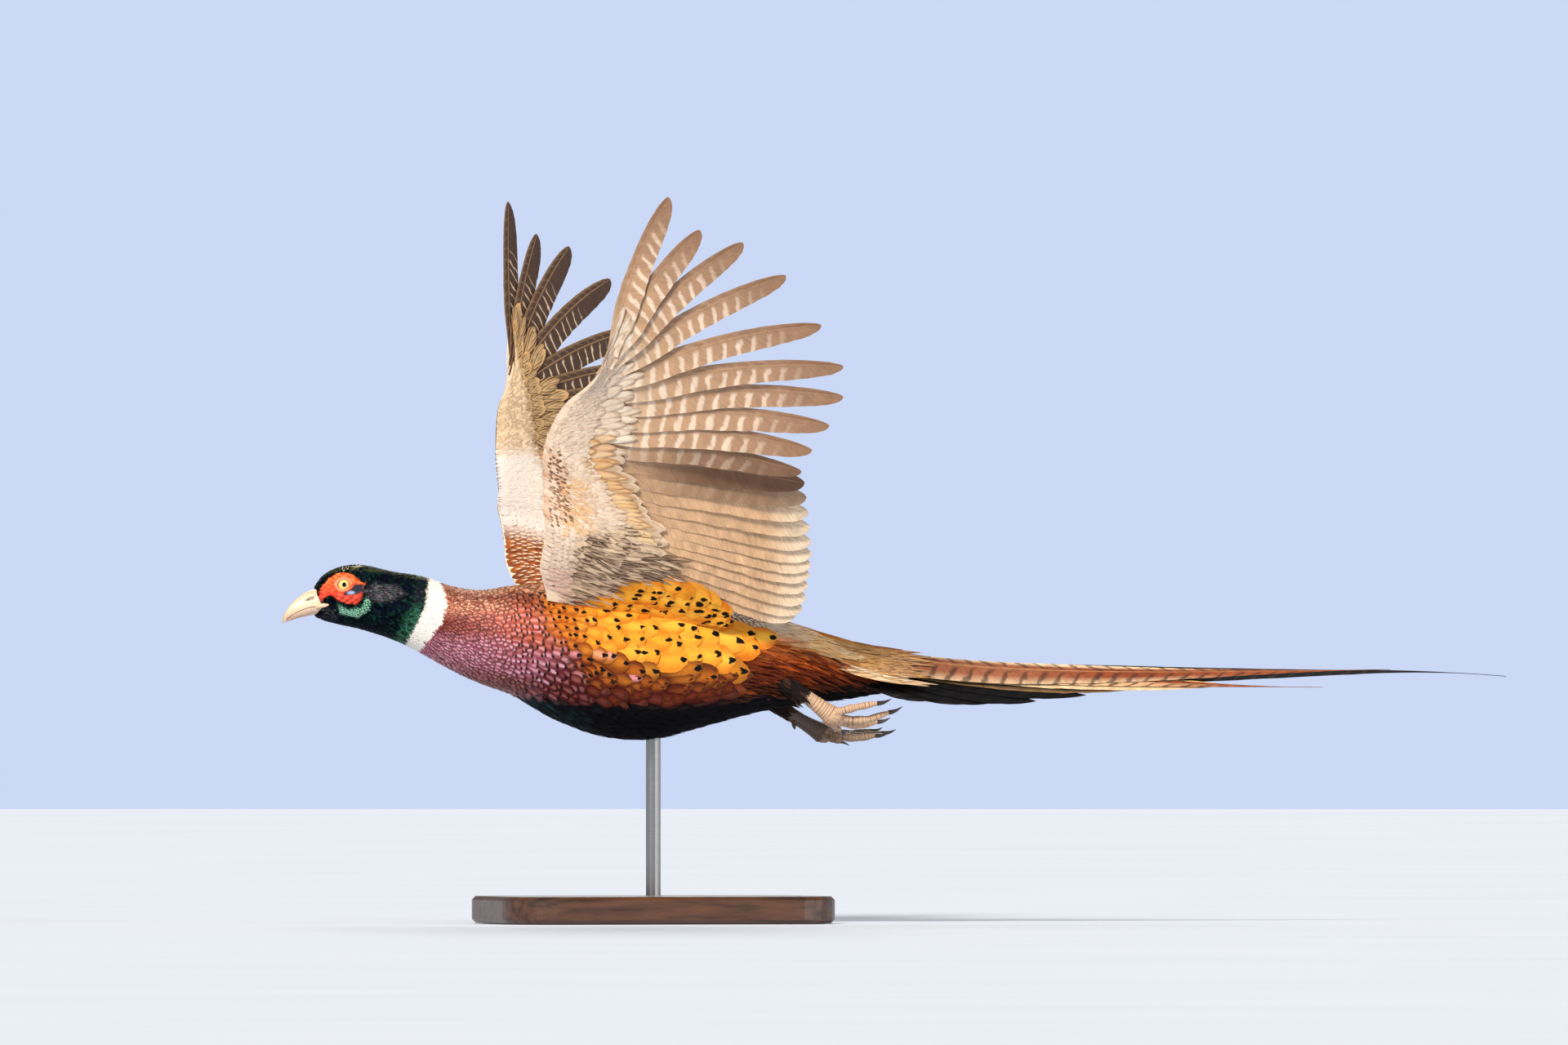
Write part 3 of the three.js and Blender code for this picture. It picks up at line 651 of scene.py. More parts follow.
def scale_marks_group():
    """Marks of a small feather over its own length and width: a pale streak along the shaft, a rim, bars, a
    spot near the tip, and fine streaks and slanting barbs as a height. On the breast that streak is a painted
    highlight, and on the flank partly one. Plan is the spot's strength, width and height; Trim is the
    strength of the rim and of the streak; More is the spot's place along, a number of the feather's own and
    the strength of the bars; Form is the streak's width, and the slant and number of the bars."""
    tree, n, given, out = new_group(
        "scale marks",
        [("Vane", "v"), *[(name, "c") for name in SMALL_PAINTS], *[(name, "v") for name in SMALL_VALUES]],
        [("Color", "c"), ("Height", "f")],
    )
    streak_wide, slant, bar_count = n.split(given["Form"])
    across, along, _ = n.split(given["Vane"])
    s = n.scaled(across, 2.0, -1.0)
    wide = n.math("ABSOLUTE", s)
    spot, spot_wide, spot_high = n.split(given["Plan"])
    rim, streak, _ = n.split(given["Trim"])
    spot_place, seed, bars = n.split(given["More"])
    spread = n.times(s, n.scaled(along, -6.0, 15.0))
    hair = n.noise(n.join(spread, n.times(along, 3.0), n.times(seed, 40.0)), 1.0, 3.0)
    patchy = n.noise(n.join(s, n.times(along, 3.0), n.times(seed, 90.0)), 1.6, 2.0)
    middle = n.ramp(n.scaled(n.minus(hair, 0.5), 0.8, wide), streak_wide, 0.05)
    streaky = n.mix(
        n.times(streak, n.times(middle, n.ramp(along, 0.3, 0.75))), given["Tone"], given["Glow"]
    )
    tip = n.math("MAXIMUM", n.scaled(along, 2.0, -1.0), 0.0)
    reach = n.math("SQRT", n.scaled(n.times(s, s), 0.75, n.times(tip, tip)))
    edged = n.mix(n.times(rim, n.ramp(reach, 0.75, 1.0)), streaky, given["Mark"])
    behind = n.minus(along, n.times(wide, slant))
    wave = n.math("SINE", n.times(n.times(behind, bar_count), 2 * math.pi))
    barred = n.mix(n.times(bars, n.ramp(wave, -0.1, 0.5)), edged, given["Mark"])
    sx = n.math("DIVIDE", s, spot_wide)
    sy = n.math("DIVIDE", n.minus(along, spot_place), spot_high)
    round_spot = n.math("SQRT", n.plus(n.times(sx, sx), n.times(sy, sy)))
    torn = n.plus(n.scaled(hair, 0.9, -0.45), n.scaled(patchy, 1.4, -0.7))
    ragged = n.plus(round_spot, torn)
    spotted = n.mix(n.times(spot, n.ramp(ragged, 1.2, 0.8)), barred, given["Mark"])
    worn = n.plus(n.scaled(hair, 0.7, 0.62), n.scaled(patchy, 0.5, -0.25))
    n.plug(out["Color"], n.mix(1.0, spotted, n.grey(worn), "MULTIPLY"))
    barbs = n.math("SINE", n.times(n.scaled(wide, -0.35, along), 200.0))
    n.plug(out["Height"], n.plus(n.times(barbs, 0.12), hair))
    return tree


def vane_marks_group():
    """Marks of a flight or tail feather: bars across it at a spacing in millimetres along, slanting back
    from the shaft, an edge and a shaft line in a colour of their own, mottling, and barbs as a height. Plan
    is the spacing, the bars' share and their slant; Trim is the bars' strength on the leading and on the
    trailing vane, and the mottling; More is the edge's strength and a number of the feather's own."""
    tree, n, given, out = new_group(
        "vane marks",
        [("Vane", "v"), *[(name, "c") for name in LARGE_PAINTS], *[(name, "v") for name in LARGE_VALUES]],
        [("Color", "c"), ("Height", "f")],
    )
    across, along, _ = n.split(given["Vane"])
    s = n.scaled(across, 2.0, -1.0)
    wide = n.math("ABSOLUTE", s)
    spacing, share, slant = n.split(given["Plan"])
    lead_bars, trail_bars, mottle = n.split(given["Trim"])
    edge_strength, seed, _ = n.split(given["More"])
    millimetres = n.times(along, 1000.0)
    blotch = n.noise(n.join(n.times(s, 1.2), n.times(millimetres, 0.12), n.times(seed, 70.0)), 1.0, 3.0)
    wobble = n.scaled(blotch, 9.0, -4.5)
    slid = n.plus(millimetres, n.scaled(wide, slant, wobble))
    phase = n.math("FRACT", n.math("DIVIDE", slid, spacing))
    wave = n.times(n.math("ABSOLUTE", n.minus(phase, 0.5)), 2.0)
    bar = n.ramp(n.minus(share, wave), -0.2, 0.15)
    ahead = n.ramp(s, -0.06, 0.06)
    lead_part = n.times(ahead, lead_bars)
    trail_part = n.times(n.minus(1.0, ahead), trail_bars)
    fade = n.times(n.ramp(wide, 0.02, 0.3), n.plus(lead_part, trail_part))
    barred = n.mix(n.times(bar, fade), given["Tone"], given["Bar"])
    edged = n.mix(n.times(n.ramp(s, 0.45, 0.95), edge_strength), barred, given["Lead"])
    shaft = n.ramp(wide, 0.075, 0.02)
    shafted = n.mix(n.times(shaft, 0.5), edged, given["Lead"])
    run = n.scaled(wide, -9.0, millimetres)
    barb = n.noise(n.join(n.times(run, 1.1), n.times(s, 1.5), n.times(seed, 50.0)), 1.0, 3.0)
    dirt = n.scaled(blotch, 0.6, n.scaled(barb, 0.7, -0.65))
    worn = n.scaled(dirt, mottle, 1.0)
    n.plug(out["Color"], n.mix(1.0, shafted, n.grey(worn), "MULTIPLY"))
    ribs = n.math("SINE", n.times(run, 3.6))
    n.plug(out["Height"], n.scaled(ribs, 0.15, barb))
    return tree


SCALE_MARKS = scale_marks_group()
VANE_MARKS = vane_marks_group()


def new_material(name, roughness=0.6, metallic=0.0, **constants):
    """A material with its shader, whose constants are set on the shader's own sockets."""
    made = bpy.data.materials.new(name)
    made.use_nodes = True
    n = Nodes(made.node_tree)
    shader = made.node_tree.nodes["Principled BSDF"]
    shader.inputs["Roughness"].default_value = roughness
    shader.inputs["Metallic"].default_value = metallic
    for key, value in constants.items():
        shader.inputs[key.replace("_", " ").title().replace("Ior", "IOR")].default_value = value
    return made, n, shader


def bump(n, shader, height, strength, distance):
    """Fine relief by a height between 0 and about 1, as deep as a distance in metres."""
    made = n.add("ShaderNodeBump")
    made.inputs["Strength"].default_value = strength
    made.inputs["Distance"].default_value = distance
    n.plug(made.inputs["Height"], height)
    n.plug(shader.inputs["Normal"], made.outputs[0])


def plumage_material(name, group, relief=0.0002, rough=(0.62, 0.32), **constants):
    """Feathers painted by their own tone, mark and glow colours. The last number of a small feather's Trim
    is its gloss."""
    made, n, shader = new_material(name, **constants)
    small = group == SCALE_MARKS
    marks = n.add("ShaderNodeGroup", node_tree=group)
    n.plug(marks.inputs["Vane"], n.uv("Vane"))
    for socket, attribute in zip(SMALL_PAINTS if small else LARGE_PAINTS, ("tone", "mark", "glow")):
        n.plug(marks.inputs[socket], n.attribute(attribute)["Color"])
    for socket in SMALL_VALUES if small else LARGE_VALUES:
        n.plug(marks.inputs[socket], n.attribute(socket.lower())["Vector"])
    n.plug(shader.inputs["Base Color"], marks.outputs["Color"])
    if small:
        gloss = n.split(n.attribute("trim")["Vector"])[2]
        n.plug(shader.inputs["Metallic"], gloss)
        n.plug(shader.inputs["Roughness"], n.ramp(gloss, 0.0, 1.0, *rough))
    bump(n, shader, marks.outputs["Height"], 0.5, relief)
    return made


def painted_material(name, roughness, scale, strength, **constants):
    """Skin or horn painted by its tone attribute, with a fine grain as bump."""
    made, n, shader = new_material(name, roughness=roughness, **constants)
    grain = n.noise(n.place(), scale, 4.0, 0.6)
    worn = n.grey(n.scaled(grain, 0.5, 0.75))
    n.plug(shader.inputs["Base Color"], n.mix(1.0, n.attribute("tone")["Color"], worn, "MULTIPLY"))
    bump(n, shader, grain, strength, 0.0004)
    return made


# Paints, as a maker would mix them. The bright green, the lilacs and the belly's green are painted sheen and
# glints.
BLACK_GREEN = paint(3, 6, 12)
FLANK_LOW = paint(82, 22, 12)
HEAD_BLUE = paint(22, 30, 62)
GREEN_SHEEN = paint(45, 150, 100)
CROWN_OLIVE = paint(92, 96, 62)
EAR_GREY = paint(88, 84, 92)
COLLAR_WHITE = paint(250, 246, 236)
COPPER = paint(170, 74, 44)
COPPER_DARK = paint(96, 32, 24)
MANTLE_GOLD = paint(240, 164, 130)
LILAC_GLINT = paint(246, 168, 196)
LILAC_GLINT_DARK = paint(178, 86, 110)
BREAST_MAROON = paint(116, 36, 42)
GOLD = paint(232, 136, 4)
GOLD_PALE = paint(255, 196, 72)
ORANGE = paint(214, 104, 30)
SPOT_BLACK = paint(14, 9, 12)
FLANK_MAROON = paint(74, 17, 15)
BELLY_BLACK = paint(15, 14, 19)
BELLY_GREEN_SHEEN = paint(42, 84, 88)
RUMP_GREY = paint(186, 180, 184)
RUMP_GREEN = paint(120, 132, 110)
OLIVE = paint(226, 172, 92)
CHESTNUT = paint(176, 78, 30)
CREAM = paint(244, 222, 192)
BUFF = paint(226, 180, 122)
TAN = paint(190, 152, 120)
TAUPE = paint(208, 168, 130)
BROWN = paint(122, 84, 58)
DARK_BROWN = paint(58, 42, 38)
PINK_CREAM = paint(234, 204, 186)
SCAPULAR_COPPER = paint(176, 92, 34)
WATTLE_RED = paint(240, 66, 30)
WATTLE_ORANGE = paint(244, 104, 34)
HORN = paint(240, 212, 178)
LEG_BUFF = paint(204, 166, 134)
CLAW_DARK = paint(52, 44, 44)

# Outlines on the side of the head, in pixels of the picture.
WATTLE = [
    (391.8, 730.7), (391.8, 722.5), (396.1, 715.4), (403.1, 707.1), (411.4, 701.2), (422, 699.3),
    (431.5, 701.2), (438.5, 707.1), (443.3, 710.7), (453.9, 712.6), (448, 715.9), (445.6, 723.7),
    (446.1, 730.7), (443.3, 736.6), (436.2, 741.8), (426.7, 740.9), (417.3, 737.8), (409, 730.7),
    (405.5, 730), (400.8, 732.4), (394.9, 736.6),
]
DARK_PATCH = [
    (421.5, 727), (431.5, 721.3), (436.2, 715.4), (447, 715.4), (447, 724.5), (438.5, 728.2), (424.4, 729.4),
]
# Where the green sheen below the wattle is painted.
SHEEN_CRESCENT = [(414, 738), (428, 745), (444, 743), (450, 730), (457, 735), (455, 748), (440, 757), (418, 752)]
EAR = [(447, 722), (462, 713), (490, 716), (500, 728), (480, 738), (455, 738)]
CROWN_SPECKS = [(412, 699), (424, 693.5), (446, 692), (446, 696), (426, 699)]
CHIN = [(398, 745), (412, 742), (424, 752), (410, 760), (390, 757)]
EYE_MIDDLE = (421.6, 714.9)
BILL_EDGE_Y = [700, 722, 730, 738, 741, 744, 748, 755.5, 770]
BILL_EDGE_X = [385, 385, 388.5, 396, 402, 397, 391, 377, 372]
COLLAR_Y = [690, 708, 725, 742, 765, 787, 810]
COLLAR_FRONT = [529, 526, 524.5, 522.5, 511, 499, 488]
COLLAR_BACK = [534, 537, 546, 550, 542, 524, 506]
BELLY_X = [560, 620, 655, 704, 786, 867, 929, 969, 1060]
BELLY_Y = [860, 853, 856, 861, 864, 862, 851, 846, 838]
# How far down the back's feathers reach, in degrees from the top, at places in millimetres along the body.
BACK_X = [-125, -95, -60, 0, 40, 80, 110, 140, 170]
BACK_ANGLE = [22, 30, 38, 30, 32, 50, 66, 60, 50]


def body_zones(points, turn):
    """Shares of each zone of the coat at points of the body, from where the camera sees them."""
    px, py = seen(points)
    x = points[:, 0]
    angle = np.degrees(np.abs(turn))
    front = np.interp(py, COLLAR_Y, COLLAR_FRONT)
    behind = np.interp(py, COLLAR_Y, COLLAR_BACK)
    head = ramp(px, front + 2, front - 2)
    collar = (1 - head) * ramp(px, behind + 0.5, behind - 0.5)
    rest = (1 - head) * (1 - collar)
    belly_line = np.interp(px, BELLY_X, BELLY_Y)
    belly = rest * ramp(py, belly_line - 5, belly_line + 4)
    back_angle = np.interp(x, BACK_X, BACK_ANGLE)
    back = rest * ramp(angle, back_angle + 7, back_angle - 7) * (1 - belly)
    side = rest * (1 - belly) * (1 - back)
    gold_front = np.interp(py, [700, 740, 780, 820, 850], [640, 646, 664, 690, 705])
    gold = side * ramp(px, gold_front, gold_front + 34)
    vent_line = np.interp(py, [720, 760, 790, 810, 850], [1040, 985, 945, 925, 905])
    vent = side * ramp(px, vent_line - 12, vent_line + 12)
    gold = gold * (1 - vent)
    breast = side - gold - vent
    low_line = np.interp(px, [640, 692, 745, 826, 908, 941], [812, 812, 820, 832, 824, 806])
    low = (side - vent) * ramp(px, 655, 675) * ramp(py, low_line - 3, low_line + 3)
    return {
        "px": px, "py": py, "x": x, "head": head, "collar": collar, "belly": belly, "back": back,
        "gold": gold, "vent": vent, "low": low, "breast": np.clip(breast, 0, 1), "belly_line": belly_line,
    }


def layered(parts):
    """A colour from (share, paint) pairs, each mixed over those before it."""
    colour = np.zeros((len(parts[0][0]), 3))
    for share, tone in parts:
        colour = mixed(colour, tone, np.asarray(share)[:, None])
    return colour


def body_marks(points, turn):
    """Tone, mark, glow, plan, trim, more and form of each feather of the body, by where its end shows."""
    z = body_zones(points, turn)
    px, py, x = z["px"], z["py"], z["x"]
    count = len(px)
    one = np.ones(count)
    draw = rng.random((count, 5))
    above_belly = z["belly_line"] - py

    # Painted sheen on the near-black head: green on the crescent below the wattle and low on the neck, random
    # blue and green glinting feathers, and grey sheen streaks at the ear.
    crescent_sheen = ramp(inside(SHEEN_CRESCENT, px, py), -1, 3)
    front = np.interp(py, COLLAR_Y, COLLAR_FRONT)
    neck_green_sheen = z["head"] * ramp(px, front - 24, front - 8) * ramp(py, 735, 755)
    crown_line = np.interp(px, [400, 415, 440, 470, 500, 520], [702, 699, 697, 700, 706, 710])
    crown = ramp(crown_line - py, -3.5, 0.5)
    ear = ramp(inside(EAR, px, py), -2, 6)
    streaks_below = ramp(inside(CHIN, px, py), -2, 4)
    head_tone = layered([
        (one, BLACK_GREEN),
        (0.5 * draw[:, 1] ** 4, HEAD_BLUE),
        (0.15 * draw[:, 4] ** 6, GREEN_SHEEN),
        (crescent_sheen * draw[:, 2] ** 0.3, mixed(GREEN_SHEEN, paint(96, 150, 128), 0.4)),
        (neck_green_sheen * 0.9 * draw[:, 0] ** 1.2, mixed(GREEN_SHEEN, paint(96, 150, 128), 0.3)),
        (0.8 * crown * (0.3 + 0.7 * draw[:, 3]) * (draw[:, 1] > 0.25), CROWN_OLIVE),
        (ear * draw[:, 0] ** 2.5, mixed(EAR_GREY, paint(150, 140, 150), 0.4)),
        (0.7 * streaks_below * draw[:, 4] ** 2, EAR_GREY),
        (0.9 * (inside(CROWN_SPECKS, px, py) > 0) * (draw[:, 2] > 0.72), paint(226, 214, 186)),
    ])

    high = ramp(py, 765, 735)
    dark_low = ramp(above_belly, 40, 8)
    # Painted glints: lilac and pink where the sheen of the lower neck and breast catches the light.
    lilac_glint = ramp(np.abs(above_belly - 46 + 0.16 * (px - 640)), 32, 8) * ramp(px, 715, 660)
    lilac_glint = np.clip(lilac_glint + 0.3 * ramp(px, 560, 640) * (1 - high), 0, 1)
    breast_tone = layered([
        (one, mixed(mixed(COPPER, BREAST_MAROON, 0.4), COPPER_DARK, 0.1 + 0.4 * draw[:, [4]])),
        (0.85 * high * draw[:, 0] ** 0.7, MANTLE_GOLD),
        (0.5 * ramp(px, 640, 700) * ramp(py, 800, 765), mixed(ORANGE, GOLD, 0.4)),
        (0.75 * ramp(px, 640, 545) * (1 - high), mixed(BREAST_MAROON, paint(104, 40, 66), 0.5)),
        (0.85 * lilac_glint, mixed(LILAC_GLINT_DARK, LILAC_GLINT, 0.35 * draw[:, [3]])),
        (0.7 * dark_low, BREAST_MAROON),
        (0.6 * draw[:, 2] ** 1.5, COPPER_DARK),
        (0.8 * ramp(px, 590, 640) * (1 - dark_low) * ramp(py, 815, 785), paint(150, 56, 26)),
        (0.7 * z["low"], FLANK_MAROON),
    ])
    rosy = mixed(paint(236, 138, 96), ORANGE, 0.5 * ramp(px, 600, 650)[:, None])
    # The breast feathers' glow streak is a painted highlight down their middles, with painted pink glints.
    breast_highlight_streak = layered([
        (one, mixed(breast_tone, rosy, 0.1 + 0.5 * draw[:, [3]])),
        (high * draw[:, 0] * ramp(px, 650, 620), paint(250, 196, 164)),
        (lilac_glint * draw[:, 1] ** 0.7, paint(255, 196, 216)),
        (0.5 * dark_low * (draw[:, 4] > 0.3), BREAST_MAROON),
    ])
    gold_low = ramp(np.interp(px, [692, 745, 826, 908, 941], [786, 800, 820, 814, 790]) - py, 8, -12)
    flank_dark = ramp(above_belly, 34, 12)
    gold_tone = layered([
        (one, mixed(GOLD, ORANGE, 0.6)),
        (0.45 * draw[:, 0], GOLD_PALE),
        (0.7 * ramp(px, 780, 700) * draw[:, 4], paint(186, 92, 24)),
        (0.75 * ramp(px, 745, 700), paint(150, 62, 14)),
        (0.5 * ramp(px, 900, 945) * draw[:, 2], ORANGE),
        (0.95 * gold_low, FLANK_LOW),
        (0.9 * flank_dark, FLANK_MAROON),
    ])
    # Painted lilac glints on some low flank feathers. The gold feathers' paler middles along the shaft are
    # partly their own colour and partly a painted highlight.
    lilac_glint_share = (draw[:, [2]] > 0.7) * 0.6 * ramp(px, 850, 800)[:, None]
    gold_highlight_streak = layered([
        (one, mixed(GOLD, GOLD_PALE, 0.3 + 0.6 * draw[:, [1]])),
        (0.75 * ramp(px, 745, 700), mixed(ORANGE, paint(196, 100, 24), 0.6)),
        (0.85 * gold_low, mixed(mixed(ORANGE, FLANK_LOW, 0.5), LILAC_GLINT, lilac_glint_share)),
        (0.95 * flank_dark, mixed(FLANK_MAROON, ORANGE, 0.12)),
    ])
    hairs = ramp(py, 838, 800) * ramp(px, 925, 985)
    vent_tone = layered([
        (one, mixed(FLANK_MAROON, BELLY_BLACK, 0.45)),
        (ramp(py, 805, 782) * draw[:, 2] ** 0.4, mixed(ORANGE, paint(255, 190, 130), 0.6 * draw[:, [3]])),
        (0.7 * ramp(py, 825, 795) * draw[:, 0], mixed(CHESTNUT, FLANK_MAROON, 0.3)),
        (0.8 * hairs * (draw[:, 1] > 0.6) * draw[:, 0] ** 0.5, mixed(CHESTNUT, ORANGE, 0.3)),
        (0.95 * ramp(py, 822, 842), BELLY_BLACK),
        (0.6 * ramp(px, 1035, 1000) * ramp(py, 825, 838) * (draw[:, 4] > 0.75), CHESTNUT),
    ])
    # Green on the front of the black belly is painted sheen.
    belly_tone = layered([(one, BELLY_BLACK), (0.8 * ramp(px, 770, 640) * draw[:, 0] ** 4, BELLY_GREEN_SHEEN)])
    mantle = ramp(x, -20, -60)
    tail_end = ramp(x, 88, 112)
    barred_rump = (1 - mantle) * ramp(x, 84, 62)
    back_tone = layered([
        (one, mixed(mixed(RUMP_GREY, CREAM, 0.5), mixed(BUFF, TAN, 0.5), draw[:, [3]])),
        (0.2 * draw[:, 0] ** 3, RUMP_GREEN),
        (mantle, mixed(COPPER_DARK, COPPER, 0.5)),
        (mantle * 0.7 * draw[:, 1], MANTLE_GOLD),
        (tail_end, mixed(paint(255, 190, 106), paint(255, 226, 180), draw[:, [4]])),
        (0.6 * tail_end * (draw[:, 1] > 0.7), OLIVE),
    ])
    zones = [("head", head_tone), ("collar", np.tile(COLLAR_WHITE, (count, 1))), ("breast", breast_tone),
             ("gold", gold_tone), ("vent", vent_tone), ("belly", belly_tone), ("back", back_tone)]
    tone = sum(z[k][:, None] * t for k, t in zones)
    mark = layered([
        (one, SPOT_BLACK),
        (z["breast"], mixed(COPPER_DARK, SPOT_BLACK, 0.8)),
        (z["collar"], paint(226, 214, 198)),
    ])
    glow = layered([
        (one, mixed(tone, CREAM, 0.12)),
        (z["gold"], gold_highlight_streak),
        (z["breast"], breast_highlight_streak),
        (z["back"] * mantle, mixed(BUFF, MANTLE_GOLD, 0.5)),
        (z["back"] * (1 - mantle), mixed(back_tone, CREAM, 0.4)),
        # The head's bluish streaks, the crescent's pale green and the ear's grey are painted sheen.
        (z["head"], mixed(head_tone, HEAD_BLUE, 0.35)),
        (z["head"] * crescent_sheen, paint(190, 240, 214)),
        (z["head"] * ear, paint(120, 114, 118)),
        (z["vent"], mixed(vent_tone, ORANGE, 0.3)),
    ])
    dashes = ramp(px, 540, 650)
    spot = z["gold"] * (0.15 + 0.85 * (draw[:, 3] > 0.14)) * (1 - 0.5 * flank_dark)
    spot = spot + z["breast"] * (0.2 + 0.8 * dashes) * (0.5 + 0.5 * draw[:, 4]) + 0.5 * z["back"] * mantle
    spot = np.clip(spot + 0.9 * ramp(px, 620, 650) * ramp(px, 700, 680) * (z["breast"] + z["gold"]), 0, 1)
    sizes = layered([
        (one, np.array([0.3, 0.065, 0.92])),
        (z["gold"] * ramp(px, 800, 720), np.array([0.42, 0.09, 0.91])),
        (z["breast"], np.array([0.62, 0.075, 0.95])),
        (z["back"], np.array([0.8, 0.1, 0.9])),
    ])
    rim = 0.4 * z["breast"] + 0.4 * z["back"] * mantle + 0.15 * z["collar"] + 0.25 * z["head"]
    streak = z["gold"] + z["breast"] * 0.9 + z["back"] * 0.8 + z["head"] * (0.4 + 0.5 * crescent_sheen)
    streak = streak + 0.6 * z["vent"]
    gloss = 0.4 * z["head"] + 0.45 * z["breast"] + 0.1 * z["gold"]
    streak_wide = 0.85 - 0.35 * z["breast"]
    bars = 0.95 * z["back"] * barred_rump
    return z, {
        "tone": np.clip(tone, 0, 1),
        "mark": mark,
        "glow": np.clip(glow, 0, 1),
        "plan": stacked(spot, sizes[:, 0], sizes[:, 1]),
        "trim": stacked(rim, streak, gloss),
        "more": stacked(sizes[:, 2], rng.random(count), bars),
        "form": stacked(streak_wide, 0.09, 6),
    }


# Rows of feathers along the body: place, gap between rows, gap across, length and half width of a feather.
HEAD_ROWS = [
    [-240, 1.1, 1.0, 3.4, 0.8],
    [-225, 1.2, 1.2, 4.6, 0.95],
    [-200, 1.4, 1.4, 6.5, 1.15],
    [-182, 1.6, 1.6, 8, 1.35],
    [-160, 2.0, 1.9, 9, 1.6],
    [-140, 2.4, 2.2, 9.5, 1.9],
    [-120, 2.9, 2.8, 10.5, 2.4],
]
SIDE_ROWS = HEAD_ROWS + [
    [-100, 3.8, 4.2, 13, 3.6],
    [-82, 5.0, 5.6, 16, 4.7],
    [-55, 8, 9, 26, 7],
    [-20, 12, 13, 40, 9.8],
    [40, 13.5, 14, 44, 11],
    [80, 11, 9.5, 34, 8],
    [120, 8, 6, 26, 5],
    [165, 7, 4.6, 22, 4],
]
BACK_ROWS = HEAD_ROWS + [
    [-100, 4.2, 4.4, 14, 3.8],
    [-50, 6.5, 6.5, 20, 5.4],
    [0, 6.5, 6.5, 22, 5.2],
    [60, 6.5, 5.5, 24, 4.4],
    [100, 6, 4, 26, 3],
    [165, 6, 3.2, 26, 2.4],
]
BELLY_ROWS = HEAD_ROWS + [[-80, 4.6, 4.4, 17, 4], [0, 6, 5, 22, 4.2], [165, 6, 4.2, 24, 3.2]]
VENT_ROWS = HEAD_ROWS + [[-80, 4.6, 4.4, 17, 4], [40, 5, 3, 24, 1.9], [165, 4.4, 2.2, 28, 1.4]]
RUMP_ROWS = HEAD_ROWS + [
    [0, 6, 5, 22, 4],
    [60, 5, 3.6, 22, 2.6],
    [100, 4.6, 2.4, 26, 1.7],
    [165, 5, 2.4, 28, 1.6],
]
LOW_ROWS = HEAD_ROWS + [
    [-80, 5.2, 5.4, 17, 4.6],
    [-30, 7, 7, 24, 5.6],
    [60, 7.5, 6.5, 27, 5],
    [165, 5, 4, 24, 3],
]
COLLAR_ROWS = [
    [-240, 1.2, 1.2, 3.6, 1.0],
    [-182, 1.3, 1.3, 5.5, 1.0],
    [-120, 1.4, 1.4, 5.5, 1.05],
    [165, 6, 5, 20, 4],
]
END_SHOWS = 0.86  # share of a feather's length where its end shows from under those ahead of it


def body_roots(plan):
    """Roots of the body's feathers: rows at the planned spacing, each with feathers evenly round it, every
    other row moved by half a space, and all of them strewn a little."""
    xs, turns = [], []
    x, row = -240.0, 0
    while x < 166:
        gap, across = keyed(plan, np.array([x]))[0][:2]
        ring = body(np.full(73, x), np.linspace(0, 2 * math.pi, 73))
        round_it = np.linalg.norm(np.diff(ring, axis=0), axis=1).sum()
        count = max(8, int(round_it / across))
        turn = (np.arange(count) + 0.5 * (row % 2)) * 2 * math.pi / count
        xs.append(x + gap * rng.normal(0, 0.16, count))
        turns.append(turn + rng.normal(0, 0.13, count) * 2 * math.pi / count)
        x += gap
        row += 1
    turn = np.concatenate(turns)
    return np.concatenate(xs), (turn + math.pi) % (2 * math.pi) - math.pi


def body_coat(plan):
    """Feathers all over the body by one plan of rows, with their marks."""
    x, turn = body_roots(plan)
    _, _, length, half = np.moveaxis(keyed(plan, x), -1, 0)
    count = len(x)
    px, py = seen(body(x, turn))
    ahead_of_face = ramp(inside(WATTLE, px, py), -16, -3)
    length = length * np.clip(rng.normal(1, 0.08, count), 0.8, 1.2) * (1 - 0.7 * ahead_of_face)
    half = half * np.clip(rng.normal(1, 0.06, count), 0.85, 1.15)
    shown = body(x + END_SHOWS * length, turn)
    tip_px, tip_py = seen(shown)
    face = np.maximum(inside(WATTLE, px, py), inside(WATTLE, tip_px, tip_py))
    bill = px - np.interp(py, BILL_EDGE_Y, BILL_EDGE_X)
    eye = np.hypot(px - EYE_MIDDLE[0], py - EYE_MIDDLE[1])
    keep = (bill > 0.2) & (face < 0.5) & (eye > 11)
    x, turn, length, half, shown = (value[keep] for value in (x, turn, length, half, shown))
    count = len(x)
    zones, coat = body_marks(shown, turn)
    loose = zones["belly"] * ramp(x, 0, 80) + zones["vent"] + 0.5 * zones["back"] * ramp(x, 60, 120)
    near_collar = zones["breast"] * ramp(x, -128, -140)
    strewn = rng.normal(0, 0.045, count) + rng.normal(0, 0.09, count) * loose
    coat.update(
        u=x, v=turn, length=length, half=half,
        lean=strewn + 0.2 * np.sign(turn) * zones["vent"],
        root_lift=-0.05 * length - 0.45,
        tip_lift=0.1 + (0.012 - 0.006 * zones["gold"]) * length + 0.2 * rng.random(count)
        + (0.7 * loose + 0.4 * near_collar) * rng.random(count),
        camber=0.07 - 0.02 * zones["gold"],
        bake=stacked(*unwrap_body(x, turn)),
    )
    return zones, coat


